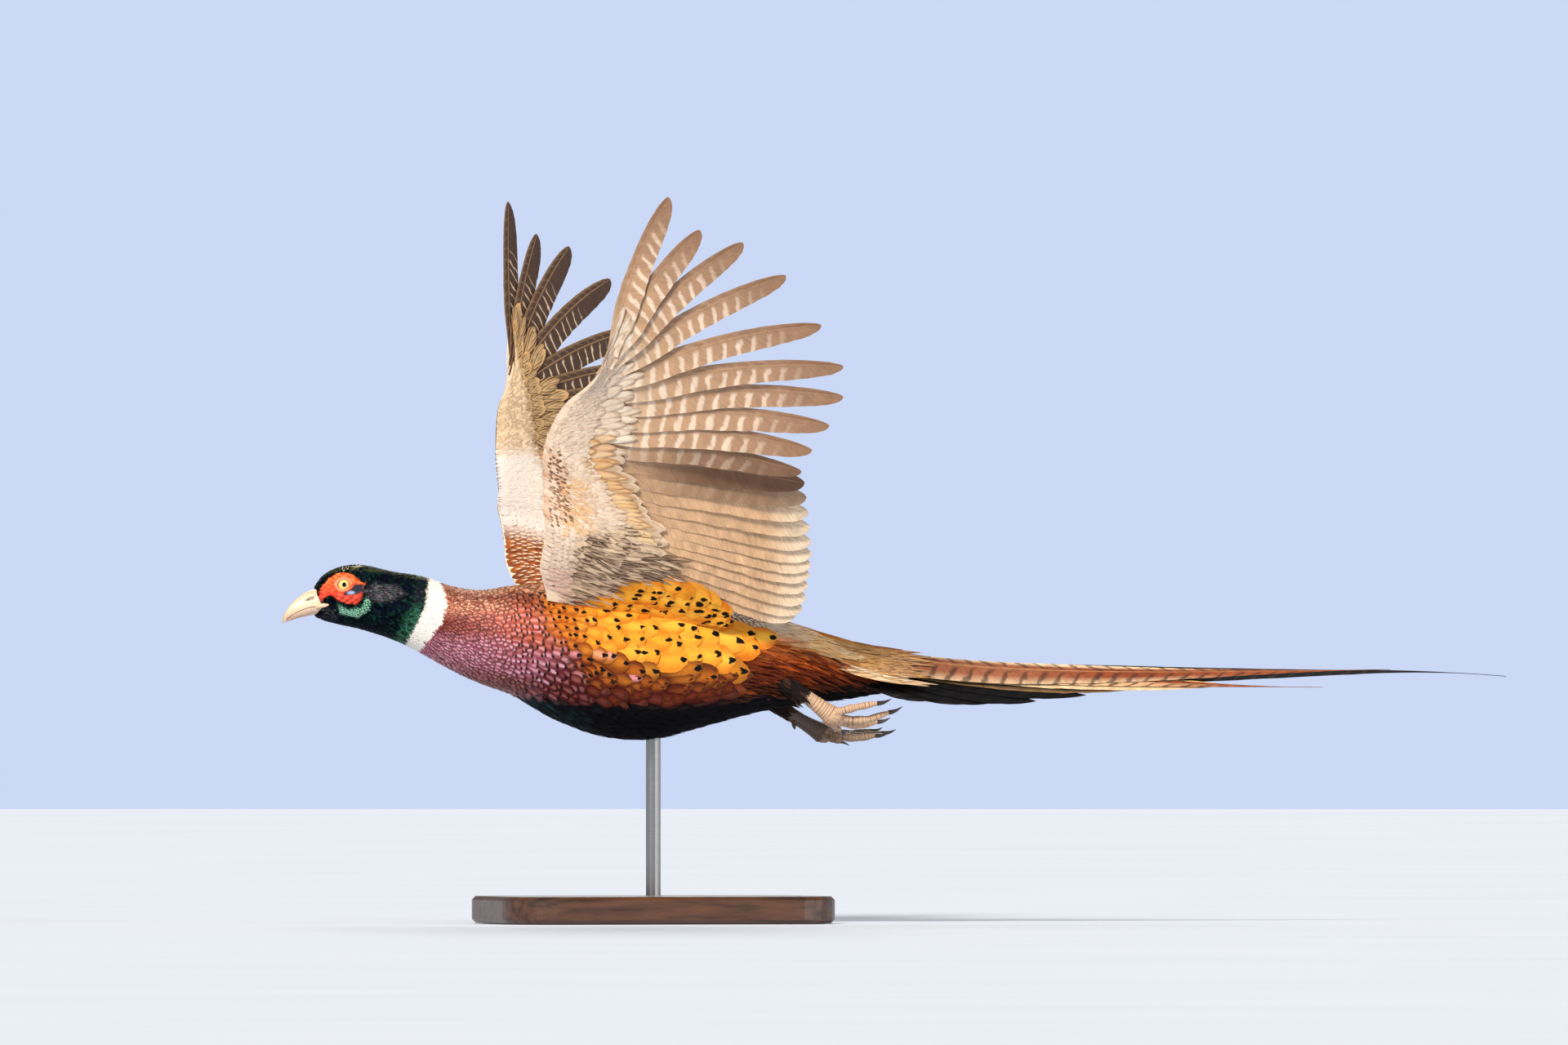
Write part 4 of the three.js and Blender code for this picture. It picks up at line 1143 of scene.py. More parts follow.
plumes = {
    "head": plumage_material("head plumage", SCALE_MARKS, 0.0001, (0.75, 0.5), specular_ior_level=0.04),
    "collar": plumage_material("collar plumage", SCALE_MARKS, 0.0001, specular_ior_level=0.2),
    "breast": plumage_material("breast plumage", SCALE_MARKS, 0.00015, (0.6, 0.26), specular_ior_level=0.5),
    "flank": plumage_material("flank plumage", SCALE_MARKS, specular_ior_level=0.12),
    "belly": plumage_material("belly plumage", SCALE_MARKS, rough=(0.8, 0.6), specular_ior_level=0.05),
    "back": plumage_material("back plumage", SCALE_MARKS, specular_ior_level=0.25),
    "wing": plumage_material("wing coverts", SCALE_MARKS, specular_ior_level=0.2),
    "flight": plumage_material("flight feathers", VANE_MARKS, 0.0002, roughness=0.6, specular_ior_level=0.25),
    "tail": plumage_material("tail feathers", VANE_MARKS, 0.0002, roughness=0.5, specular_ior_level=0.3),
}


def dress(made, material, *nodes):
    """Finishes a piece: its material, the body it rides on, and the CAD nodes it stands for."""
    made.data.materials.append(material)
    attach(made, "root")
    if nodes:
        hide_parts(*nodes)
    return made


def zone_name(zones):
    """The zone that each feather belongs to."""
    names = np.full(len(zones["px"]), "flank", dtype=object)
    for key in ("head", "collar", "breast", "belly", "back", "vent", "low"):
        names[zones[key] > 0.5] = key
    names[(names == "back") & (zones["x"] > 50)] = "rump"
    ahead = zones["px"] - np.interp(zones["py"], COLLAR_Y, COLLAR_FRONT)
    behind = zones["px"] - np.interp(zones["py"], COLLAR_Y, COLLAR_BACK)
    names[(ahead > -16) & (behind < 12)] = "collar"
    return names


# Pieces of the body's coat: rows of feathers, shape of a feather, and how far its end frays.
BODY_PIECES = {
    "head": (HEAD_ROWS + SIDE_ROWS[-1:], SMALL_SCALE, 0.0),
    "collar": (COLLAR_ROWS, SMALL_SCALE, 0.0),
    "breast": (SIDE_ROWS, ROUND_SCALE, 0.012),
    "flank": (SIDE_ROWS, LONG_SCALE, 0.02),
    "low": (LOW_ROWS, LONG_SCALE, 0.025),
    "belly": (BELLY_ROWS, LOOSE_SCALE, 0.02),
    "back": (BACK_ROWS, ROUND_SCALE, 0.015),
    "rump": (RUMP_ROWS, LOOSE_SCALE, 0.03),
    "vent": (VENT_ROWS, LOOSE_SCALE, 0.03),
}
SHARED_PLUMES = {"vent": "belly", "low": "flank", "rump": "back"}
for place_name, (plan, shape, fringe) in BODY_PIECES.items():
    zones, coat = body_coat(plan)
    stray = (place_name == "flank") & (zones["back"] > 0.12) & (zones["px"] > 880)
    part = chosen(coat, (zone_name(zones) == place_name) & ~stray)
    cover = coat_piece(place_name + "_plumage", lay(body, 1, shape, part, fringe), shape, part)
    dress(cover, plumes[SHARED_PLUMES.get(place_name, place_name)])


# The skin: the body and the wings' flesh, inside the coat.
FACE_BACK = -196  # the bare face lies ahead of this place


def coat_depth(x):
    """How far the skin lies under the coat, by straight lines between places along the body."""
    return np.interp(x, [-238, -225, -182, -110, -60, 100, 172], [1.0, 1.3, 1.6, 2.4, 3.2, 3.2, 1.6])


def wattle_folds(px, py):
    """The wattle's folds over the side of the head: two crossing waves, bent by a third."""
    bent = np.sin(0.62 * px + 0.5 * py + 2 * np.sin(0.35 * py))
    return 0.4 * bent + 0.3 * np.sin(1.2 * py - 0.5 * px + 1.0)


def face_height(px, py):
    """How far the bare skin of the face stands out: the wattle with its folds and beads, a ring round the
    eye, and a hollow for the eyeball."""
    wattle = ramp(inside(WATTLE, px, py), -0.6, 2.6) * (1 - ramp(inside(DARK_PATCH, px, py), -1, 2))
    folds = wattle_folds(px, py)
    beads = 0.3 * np.sin(2.6 * px) * np.sin(2.6 * py)
    round_eye = np.hypot(px - EYE_MIDDLE[0], py - EYE_MIDDLE[1])
    near_eye = ramp(round_eye, 13, 9)
    hollow = ramp(round_eye, 9.2, 7.4)
    return wattle * (1.5 + (folds + beads) * (1 - near_eye)) - 5 * hollow


def skin_of_body():
    """The body's ellipses set in by the coat's depth, with close rows and the relief of the bare skin at the
    face."""
    rows_x = np.concatenate([np.arange(-238.5, FACE_BACK, 0.42), np.arange(FACE_BACK, 172, 3.0), [172.0]])
    x, a = grid(rows_x, round_angles(220))
    points = body(x, a)
    step = 0.3
    out = unit(np.cross(body(x + step, a) - body(x - step, a), body(x, a + 0.01) - body(x, a - 0.01)))
    lift = face_height(*seen(points)) * (x < FACE_BACK) - coat_depth(x)
    return tube(points + out * lift[..., None])


def skin_of_wing(left):
    """The wing's flesh as flat rings from its leading to its trailing edge: a cosine across, and half the
    wing's thickness, set in by up to 1.2 mm, up and down."""
    n, a = grid(np.linspace(-0.6, 26, 60), round_angles(28))
    ahead, behind, thick = wing_flesh(n)
    inset = np.minimum(1.2, 0.25 * thick)
    back = (behind - ahead) / 2 + ((behind + ahead) / 2 - inset) * np.cos(a)
    root, _, along, up, _ = wing_frame(n)
    half = np.maximum(wing_height(np.minimum(back, 0), n, np.sin(a)) - inset, 0.2)
    height = half * np.clip(np.abs(np.sin(a)) * 1.8, 0, 1) * np.sign(np.sin(a))
    rings = root + along * back[..., None] + up * height[..., None]
    points, quads, triangles = turned_out(*tube(rings))
    return (to_left(points), flipped(quads), flipped(triangles)) if left else (points, quads, triangles)


body_skin = turned_out(*skin_of_body())
skin_points, skin_quads, skin_triangles = merged([body_skin, skin_of_wing(False), skin_of_wing(True)])
skin = make_mesh("skin", skin_points, skin_quads, skin_triangles)
skin_turn = np.arctan2(skin_points[:, 1], skin_points[:, 2] - 195)
body_count = len(body_skin[0])
_, skin_coat = body_marks(skin_points[:body_count], skin_turn[:body_count])
skin_tone = np.tile(CREAM, (len(skin_points), 1))
skin_tone[:body_count] = skin_coat["tone"]
skin_px, skin_py = seen(skin_points)
on_face = skin_points[:, 0] < FACE_BACK
bare_red = ramp(inside(WATTLE, skin_px, skin_py), -1, 1) * on_face
dark_bare = ramp(inside(DARK_PATCH, skin_px, skin_py), -1, 1.5) * on_face
beads = ramp(np.sin(2.6 * skin_px) * np.sin(2.6 * skin_py), 0.2, -0.3)
red = mixed(WATTLE_RED, WATTLE_ORANGE, ramp(skin_py, 730, 706)[:, None])
folds = wattle_folds(skin_px, skin_py)
# Painted light and shade on the folds: paler orange on their crests towards the top is a painted highlight,
# and darker red in their troughs is painted shade.
red = mixed(red, paint(255, 150, 66), (0.45 * ramp(folds, 0.2, 0.7) * ramp(skin_py, 728, 712))[:, None])
red = mixed(red, paint(170, 30, 12), (0.6 * ramp(folds, -0.1, -0.5))[:, None])
red = mixed(red, paint(120, 16, 12), (0.5 * beads * ramp(skin_py, 727, 733))[:, None])
skin_tone = mixed(skin_tone, red, bare_red[:, None])
# A painted glint of pale blue on the dark bare patch below the eye.
painted_glint = ramp(np.hypot((skin_px - 431) / 6, (skin_py - 725.5) / 2.6), 1.1, 0.5)
patch_and_glint = mixed(mixed(SPOT_BLACK, HEAD_BLUE, 0.4), paint(150, 178, 214), painted_glint[:, None])
skin_tone = mixed(skin_tone, patch_and_glint, dark_bare[:, None])
set_colour(skin, "tone", np.clip(skin_tone, 0, 1))
dress(skin, painted_material("skin and wattle", 0.5, 900.0, 0.35), "head", "neck", "trunk")


# Eyes: a ball with its iris painted by the distance from its axis, and a pale ring of lid round it.
def eye_ball(side):
    """A sphere with its pole on the way out of the head."""
    d, a = grid(np.linspace(0, math.pi, 40)[1:-1], round_angles(56))
    ring = EYE["radius"] * np.sin(d)
    bulge = 1 + 0.04 * ramp(d, 0.7, 0.3)
    out = side * (EYE["y"] + EYE["radius"] * np.cos(d) * bulge)
    points = stacked(EYE["x"] + ring * np.cos(a), out, EYE["z"] + ring * np.sin(a))
    points, quads, triangles = turned_out(*tube(points))
    made = make_mesh("eye_left_ball" if side < 0 else "eye_right_ball", points, quads, triangles)
    off = np.hypot(points[:, 0] - EYE["x"], points[:, 2] - EYE["z"])
    front = (points[:, 1] * side > EYE["y"]).astype(float)
    set_map(made, "Ring", stacked(off * front + (1 - front) * 9, np.zeros(len(off))) / 10)
    return made


def eye_material():
    """Black pupil, streaked gold iris and darker rim, by the distance from the eye's axis in millimetres."""
    made, n, shader = new_material(
        "eye", roughness=0.12, specular_ior_level=0.2, coat_weight=0.6, coat_roughness=0.03
    )
    ring = n.times(n.split(n.uv("Ring"))[0], 10.0)
    streaks = n.noise(n.place(), 900.0, 3.0)
    iris = n.mix(n.ramp(streaks, 0.3, 0.7), opaque(246, 196, 96), opaque(255, 226, 150))
    iris = n.mix(n.ramp(ring, 3.0, 4.0), iris, opaque(206, 110, 48))
    n.plug(shader.inputs["Base Color"], n.mix(n.ramp(ring, 1.65, 1.45), iris, opaque(8, 6, 6)))
    return made


def lid_ring(side):
    """A ring of bare lid: a flattened torus, a little higher than wide, with fine folds round it."""
    rows, columns = 96, 14
    a, b = grid(round_angles(rows), round_angles(columns))
    radius = 4.75 + (0.95 + 0.03 * np.sin(24 * a)) * np.cos(b)
    corner = 1 + 0.13 * np.cos(a) ** 8
    out = 13.6 + 0.9 * np.sin(b) + 0.3 * np.sin(a)
    points = stacked(EYE["x"] + radius * corner * np.cos(a), side * out, EYE["z"] + 0.93 * radius * np.sin(a))
    quads = grid_faces(rows, columns, closed=True)
    j, last = np.arange(columns), (rows - 1) * columns
    k = (j + 1) % columns
    wrap = stacked(last + j, last + k, k, j)
    return turned_out(points.reshape(-1, 3), np.vstack([quads, wrap]), np.zeros((0, 3), int))


eye_finish = eye_material()
for side, side_name in ((-1, "left"), (1, "right")):
    dress(eye_ball(side), eye_finish, "eye_" + side_name)
lid_shape = merged([lid_ring(-1), lid_ring(1)])
lids = make_mesh("lids", *lid_shape)
lid_turn = np.arctan2(lid_shape[0][:, 2] - EYE["z"], lid_shape[0][:, 0] - EYE["x"])
lid_folds = 0.5 + 0.5 * np.sin(24 * lid_turn)
set_colour(lids, "tone", mixed(paint(228, 132, 88), paint(240, 172, 126), lid_folds[:, None]))
dress(lids, painted_material("eyelid", 0.45, 1200.0, 0.2))


# Bill: each half a dome over the mouth line, closed below it.
def bill_half(rows, upper):
    """Sections across the bill: a half ellipse from the mouth line to the ridge, closed by the mouth line.
    The upper half has a nostril under a flap on each side."""
    table = np.column_stack([np.arange(len(rows)), rows])
    steps = np.linspace(0, len(rows) - 1, 60)
    mx, mz, rx, rz, half = np.moveaxis(keyed(table, steps), -1, 0)
    turn = np.linspace(0, math.pi, 33)
    rise = np.sin(turn) ** 0.9
    x = mx[:, None] + (rx - mx)[:, None] * rise
    z = mz[:, None] + (rz - mz)[:, None] * rise
    y = half[:, None] * np.cos(turn) * (1 - 0.12 * np.sin(turn) ** 2)
    if upper:
        slit = np.exp(-(((x + 239.6) / 2.8) ** 2) - ((z - 218.4 - 0.35 * (x + 239.6)) / 0.9) ** 2)
        flap = np.exp(-(((x + 237.6) / 3.0) ** 2) - ((z - 220.9 - 0.25 * (x + 238)) / 1.4) ** 2)
        y = y - np.sign(y) * np.minimum(1.6 * slit, np.abs(y)) + np.sign(y) * 0.9 * flap
    points = stacked(x, y, z)
    floor = points[:, [0]] * 0.5 + points[:, [-1]] * 0.5
    floor = floor + np.array([0, 0, 0.6 if upper else -0.6])
    return turned_out(*tube(np.concatenate([points, floor], axis=1)))


bill_material = painted_material("bill horn", 0.38, 700.0, 0.12, coat_weight=0.25)
for upper, node, rows in ((True, "bill_upper", UPPER_BILL), (False, "bill_lower", LOWER_BILL)):
    points, quads, triangles = bill_half(rows, upper)
    horn = make_mesh(node + "_horn", points, quads, triangles)
    # The nostril's slit is painted dark as painted shade in its hollow, and the horn darkens toward the tip
    # and on the lower half as painted shade.
    dark = np.zeros(len(points))
    if upper:
        off = points[:, 2] - 218.2 - 0.35 * (points[:, 0] + 239.6)
        dark = 2.4 * np.exp(-(((points[:, 0] + 239.6) / 2.1) ** 2) - (off / 0.55) ** 2)
    painted_shade = ramp(points[:, 2], 214, 203) * 0.7 if upper else 0.45 + 0.4 * ramp(points[:, 2], 212, 204)
    tone = mixed(HORN, paint(182, 146, 122), painted_shade[:, None])
    tone = mixed(tone, paint(46, 32, 28), np.clip(dark * 1.3, 0, 1)[:, None])
    set_colour(horn, "tone", tone)
    dress(horn, bill_material, node)


# Round limbs: legs, toes, claws and the bill's corner.
def limb_frame(line, t):
    """A smooth line's points at t, and two ways across it."""
    at = catmull(line, t)
    along = unit(catmull(line, np.minimum(t + 0.02, 1)) - catmull(line, np.maximum(t - 0.02, 0)))
    across = unit(np.cross(np.array([0, 1, 0]), along))
    return at, across, np.cross(along, across)


def limb(line, radii, rows, corners, ripple=0.0, waves=0, tone=CLAW_DARK, crease_shade=CLAW_DARK):
    """A closed tube round a smooth line: the radius follows its table and swells with each scute by a saw of
    height ripple. Between the scutes its colour is painted darker, as painted shade in the creases."""
    t = np.linspace(0, 1, rows)
    at, across, other = limb_frame(line, t)
    radius = keyed(np.column_stack([np.linspace(0, 1, len(radii)), radii]), t)[:, 0]
    phase = (t * waves + 0.5 * np.sin(11 * t) + 0.25 * np.sin(29 * t)) % 1
    radius = radius + ripple * (phase - 0.5)
    turn = round_angles(corners)
    ring = across[:, None] * np.cos(turn)[None, :, None] + other[:, None] * np.sin(turn)[None, :, None]
    shape = turned_out(*tube(at[:, None] + ring * radius[:, None, None]))
    dark = 0.85 * ramp(phase, 0.34, 0.0) if waves else np.zeros(rows)
    colour = mixed(np.tile(tone, (rows, 1)), crease_shade, dark[:, None])
    return shape, np.vstack([np.repeat(colour, corners, axis=0), colour[[0, -1]]])


def on_side(x, z, side):
    """The point of the body's side at a height."""
    turn = side * np.linspace(0.3, 2.8, 400)
    ring = body(np.full(400, float(x)), turn)
    return ring[np.argmin(np.abs(ring[:, 2] - z))]


# The bill's corner: a horny strip that runs back under the wattle.
GAPE_LINE = ((-236, 213.2), (-233, 213.6), (-230.4, 214), (-228.4, 214.3))
gape = []
for side in (-1, 1):
    line = np.array([on_side(x, z, side) for x, z in GAPE_LINE])
    gape.append(limb(line, np.array([1.6, 1.6, 1.2, 0.5]), 20, 12, tone=HORN)[0])
gape_shape = merged(gape)
gape_strips = make_mesh("gape_strips", *gape_shape)
set_colour(gape_strips, "tone", np.tile(mixed(HORN, paint(236, 178, 140), 0.4), (len(gape_shape[0]), 1)))
dress(gape_strips, bill_material)


# Flight feathers.
def blade(quill, up, lead, trail, tilt, form, rows=34, crowd=1.6, thick=0.5, camber=0.06, seed=0, room=None):
    """A feather along a quill: at each step a curved cross section from the trailing to the leading edge,
    turned by tilt, with a raised shaft, as an upper and an under sheet that meet at the edges. The steps
    crowd towards the tip, and room limits how far the trailing vane reaches."""
    t = 1 - (1 - np.linspace(0, 1, rows)) ** crowd
    at = quill(t)
    along = unit(np.gradient(at, axis=0))
    ahead = unit(np.cross(np.broadcast_to(up, at.shape), along))
    normal = np.cross(along, ahead)
    edge = ahead * math.cos(tilt) + normal * math.sin(tilt)
    out = normal * math.cos(tilt) - ahead * math.sin(tilt)
    s = np.array([-1, -0.72, -0.4, -0.12, -0.05, 0, 0.05, 0.15, 0.5, 1])
    share = np.maximum(form(t), 0.02)
    rough = np.random.default_rng(seed).normal(0, 0.018, rows)
    wide = np.where(s > 0, lead, trail)[None, :] * s[None, :] * (share * (1 + rough * (t > 0.3)))[:, None]
    if room is not None:
        wide = np.maximum(wide, -room(at)[:, None])
    bend = -camber * wide**2 / (lead + trail)
    ridge = np.exp(-((s / 0.05) ** 2)) * 0.45 * (1 - 0.75 * t[:, None])
    half = thick / 2 * (1 - 0.7 * s**2)[None, :] * (1 - 0.5 * t[:, None])
    middle = at[:, None] + edge[:, None] * wide[..., None] + out[:, None] * bend[..., None]
    top = middle + out[:, None] * (half + ridge)[..., None]
    under = middle - out[:, None] * (half + 0.8 * ridge)[..., None]
    length = np.linalg.norm(np.diff(at, axis=0), axis=1).sum()
    return top, under, s, t, length


def blades_piece(name, feathers, left=False):
    """One object from blades: each has its upper sheet, its under sheet and a band that joins their edges.
    Each sheet has a strip of the bake map to itself."""
    points, quads = [], []
    tones, marks, glows, plans, trims, mores, vanes, bakes = [], [], [], [], [], [], [], []
    start = 0
    strips = 2 * len(feathers)
    for i, feather in enumerate(feathers):
        top, under, s, t, length = feather["blade"]
        rows, columns = len(t), len(s)
        for k, sheet in enumerate((top, under)):
            points.append(sheet.reshape(-1, 3))
            tt, ss = grid(t, s)
            vanes.append(stacked(ss * 0.5 + 0.5, tt * length * MM).reshape(-1, 2))
            strip = (2 * i + k + 0.06 + 0.88 * (ss * 0.5 + 0.5)) / strips
            bakes.append(stacked(strip, 0.01 + 0.98 * tt).reshape(-1, 2))
            paints = feather["top"] if k == 0 else feather["under"]
            mores.append(np.tile([paints["edge"], (0.37 * i + 0.11 * k) % 1, 0], (rows * columns, 1)))
            stores = (tones, marks, glows, plans, trims)
            for store, key in zip(stores, ("tone", "bar", "lead", "plan", "trim")):
                given = paints[key]
                value = given(tt, ss) if callable(given) else np.broadcast_to(given, (rows, columns, 3))
                store.append(value.reshape(-1, 3))
        face = grid_faces(rows, columns)
        size = rows * columns
        quads.append(face + start)
        quads.append(flipped(face) + start + size)
        loop = np.concatenate([
            np.arange(columns),
            np.arange(1, rows) * columns + columns - 1,
            (rows - 1) * columns + np.arange(columns - 2, -1, -1),
            np.arange(rows - 2, 0, -1) * columns,
        ])
        following = np.roll(loop, -1)
        quads.append(stacked(following, loop, loop + size, following + size) + start)
        start += 2 * size
    flat, faces = np.vstack(points), np.vstack(quads)
    if left:
        flat, faces = to_left(flat), flipped(faces)
    made = make_mesh(name, flat, faces)
    for key, value in (("tone", tones), ("mark", marks), ("glow", glows)):
        set_colour(made, key, np.clip(np.vstack(value), 0, 1))
    for key, value in (("plan", plans), ("trim", trims), ("more", mores)):
        set_vector(made, key, np.vstack(value))
    set_map(made, "Vane", np.vstack(vanes))
    set_map(made, "OFBake", np.vstack(bakes))
    return made


def flight_form(v):
    """Width share of a primary: it grows to full, narrows by a fifth and ends round, by v^8."""
    return (0.45 + 0.55 * smooth(v / 0.3)) * (1 - 0.2 * v) * np.sqrt(np.maximum(0, 1 - v**8))


def broad_form(v):
    """Width share of a secondary: it grows to full and ends blunt, by v^9."""
    return (0.45 + 0.55 * smooth(v / 0.4)) * np.sqrt(np.maximum(0, 1 - v**9))


def longest_form(v):
    """Width share of a long tail feather: full near its root, then a smooth taper to its point."""
    return (0.6 + 0.4 * smooth(v / 0.12)) * (1 - smooth((v - 0.2) / 0.8))


def pointed_form(v):
    """Width share of a short tail feather: full, with an end that narrows by v^4."""
    return (0.6 + 0.4 * smooth(v / 0.15)) * np.maximum(0, 1 - v**4) ** 0.8


def flight_feather(number):
    """A primary up to number 9, and a secondary after it."""
    hand = number < 9.5
    up = wing_frame(np.array(float(number)))[3]
    lead, trail = (5.5, mixed(13, 15, number / 9)) if hand else (8, 14)
    tilt = math.radians(6.5 if hand else 5.5)
    made = blade(
        lambda t: quill_point(np.full(t.shape, float(number)), t), up, lead, trail, tilt,
        flight_form if hand else broad_form, seed=int(number * 10) + 3,
    )
    inner = float(ramp(number, 9, 12))
    # Where primaries meet secondaries, the under side is painted dark brown as painted shadow and loses its
    # bars.
    junction_shadow = float(ramp(abs(number - 10), 1.8, 0.4))

    def top_tone(t, s):
        return mixed(DARK_BROWN, mixed(BROWN, TAN, 0.35), (0.1 + 0.9 * inner) * np.ones_like(t)[..., None])

    def under_tone(t, s):
        hand_tone = mixed(paint(172, 134, 106), paint(196, 156, 122), ramp(t, 0.9, 0.3)[..., None])
        tone = mixed(hand_tone, TAUPE, inner)
        tone = mixed(tone, CREAM, (0.5 * (1 - inner) * ramp(t, 0.32, 0.12))[..., None])
        dusk = 0.45 * ramp(s, 0.02, 0.35) * ramp(s, 0.9, 0.5) + 0.35 * ramp(t, 0.7, 1)
        tone = mixed(tone, BROWN, ((1 - inner) * dusk)[..., None])
        tone = mixed(tone, mixed(BROWN, DARK_BROWN, 0.35), (0.85 * junction_shadow * ramp(t, 0.1, 0.6))[..., None])
        return mixed(tone, CREAM, (0.85 * inner * (1 - junction_shadow) * ramp(t, 0.78, 1))[..., None])

    def top_trim(t, s):
        return stacked(0.12 + 0.2 * inner, (0.9 - 0.55 * inner) * ramp(t, 0.72, 0.58), 0.8)

    def under_trim(t, s):
        trail_bars = (1 - inner) * (1 - junction_shadow) * 0.9 * ramp(t, 0.92, 0.6)
        return stacked(0.12 * trail_bars, trail_bars, 0.9 + 0.4 * inner)

    return {
        "blade": made,
        "top": {"tone": top_tone, "bar": mixed(CREAM, BUFF, 0.3), "lead": mixed(BUFF, BROWN, 0.5),
                "plan": np.array([9.5, 0.1, 6.0]), "trim": top_trim, "edge": 0.35},
        "under": {"tone": under_tone, "bar": mixed(CREAM, PINK_CREAM, 0.4),
                  "lead": mixed(BROWN, TAN, 0.5 + 0.3 * inner),
                  "plan": np.array([10.5 + 1.5 * rng.random(), 0.3, 5.0]), "trim": under_trim, "edge": 0.35},
    }


flight = [flight_feather(k) for k in [*range(10), *np.arange(10, 20.6, 0.95)]]


# Wing coverts: rows on the upper and the under side.
FLANK_TOP_X = [640, 680, 700, 740, 770, 800, 830, 860, 900]
FLANK_TOP_Y = [728, 735, 742, 737, 721, 713, 717, 728, 742]


def below_flank_top(px, py):
    """How far below the upper edge of the golden flank a place shows, in pixels."""
    return py - np.interp(px, FLANK_TOP_X, FLANK_TOP_Y)


def flank_on_wing():
    """Feathers of the flank that reach up over the root of the wing, on its under side."""
    back, number = grid(np.arange(-44, 92, 9.5), np.arange(20.5, 27, 0.62))
    number = number + 0.31 * (np.arange(len(back))[:, None] % 2)
    back = (back + rng.normal(0, 1.2, back.shape)).ravel()
    number = (number + rng.normal(0, 0.06, number.shape)).ravel()
    surface = wing_side(-1)
    length = keyed([[-44, 20], [-10, 30], [30, 38], [92, 34]], back)[:, 0]
    shown = surface(back + END_SHOWS * length, number)
    px, py = seen(shown)
    keep = (below_flank_top(px, py) > 1) & (back > -wing_flesh(number)[0]) & (px < 885) & (number < 26)
    back, number, length, shown = back[keep], number[keep], length[keep], shown[keep]
    count = len(back)
    _, coat = body_marks(shown, np.full(count, -1.2))
    coat.update(
        u=back, v=number, length=length, half=0.26 * length, lean=rng.normal(0, 0.06, count),
        root_lift=-0.02 * length - 0.2,
        tip_lift=1.3 - 0.9 * ramp(number, 24.5, 26) + 0.5 * rng.random(count),
        camber=np.full(count, 0.05),
        bake=stacked(*unwrap_wing(back, number, -1)),
    )
    return coat


def covert_rows(side):
    """Rows of coverts: greater and median rows behind the roots, small ones out to the leading edge, and
    under the wing the long soft axillaries by the body. The last column is the kind: greater, median, lesser
    or axillary."""
    rows = []

    def row(back, numbers, long, wide, kind):
        count = len(numbers)
        rows.append(stacked(
            back + rng.normal(0, 0.025, count) * long,
            numbers + rng.normal(0, 0.06, count),
            long * np.clip(rng.normal(1, 0.07, count), 0.8, 1.2),
            wide * np.clip(rng.normal(1, 0.06, count), 0.85, 1.15),
            kind,
        ))

    last = 26.0
    if side > 0:
        row(3.0, np.arange(0.4, 9.4, 0.6), 50, 5.5, 0)
        row(3.0, np.arange(9.8, last, 0.75), 54, 7, 0)
        row(-1.0, np.arange(0.6, last, 0.55), 34, 5, 1)
        row(-4.0, np.arange(0.3, last, 0.55), 24, 4.4, 1)
    else:
        row(3.0, np.arange(0.4, 9.4, 0.42), 40, 3.4, 0)
        row(3.0, np.arange(9.8, 22, 0.6), 33, 5, 0)
        row(-2.0, np.arange(0.6, 9.3, 0.5), 34, 3.6, 1)
        row(-9.0, np.arange(0.6, 9.3, 0.5), 28, 3.2, 1)
        row(-6.0, np.arange(9.5, 22, 0.36), 36, 3.0, 1)
        row(-18.0, np.arange(9.5, 22, 0.36), 34, 2.8, 1)
        row(-26.0, np.arange(12.5, 21, 0.36), 26, 2.6, 1)
    for share in np.linspace(0.02, 0.98, 17):
        numbers = np.arange(-0.4, last, 0.4) + 0.2 * rng.integers(0, 2)
        ahead = wing_flesh(numbers)[0]
        numbers, ahead = numbers[ahead > 9], ahead[ahead > 9]
        row(-ahead * share, numbers, mixed(17.0, 7.0, share), mixed(3.6, 2.0, share), 2)
    if side < 0:
        for back in np.linspace(-38, 6, 12):
            numbers = np.arange(19.6, last, 0.26) + 0.13 * rng.integers(0, 2)
            row(back, numbers, mixed(30.0, 44.0, (back + 38) / 44), 1.7, 3)
    return np.vstack(rows).T


# Outlines of the under side's patches, in pixels of the picture.
BROWN_SPOTS = [(662, 548), (690, 552), (704, 640), (668, 650)]
BUFF_PATCH = [(686, 582), (722, 592), (730, 656), (694, 656)]
COMB = [(706, 530), (740, 535), (790, 590), (812, 664), (790, 668), (752, 612), (706, 566)]
AXILLARIES = [(706, 662), (766, 640), (815, 662), (830, 745), (690, 752)]
BARE_PINK = [(676, 696), (704, 700), (704, 742), (676, 738)]


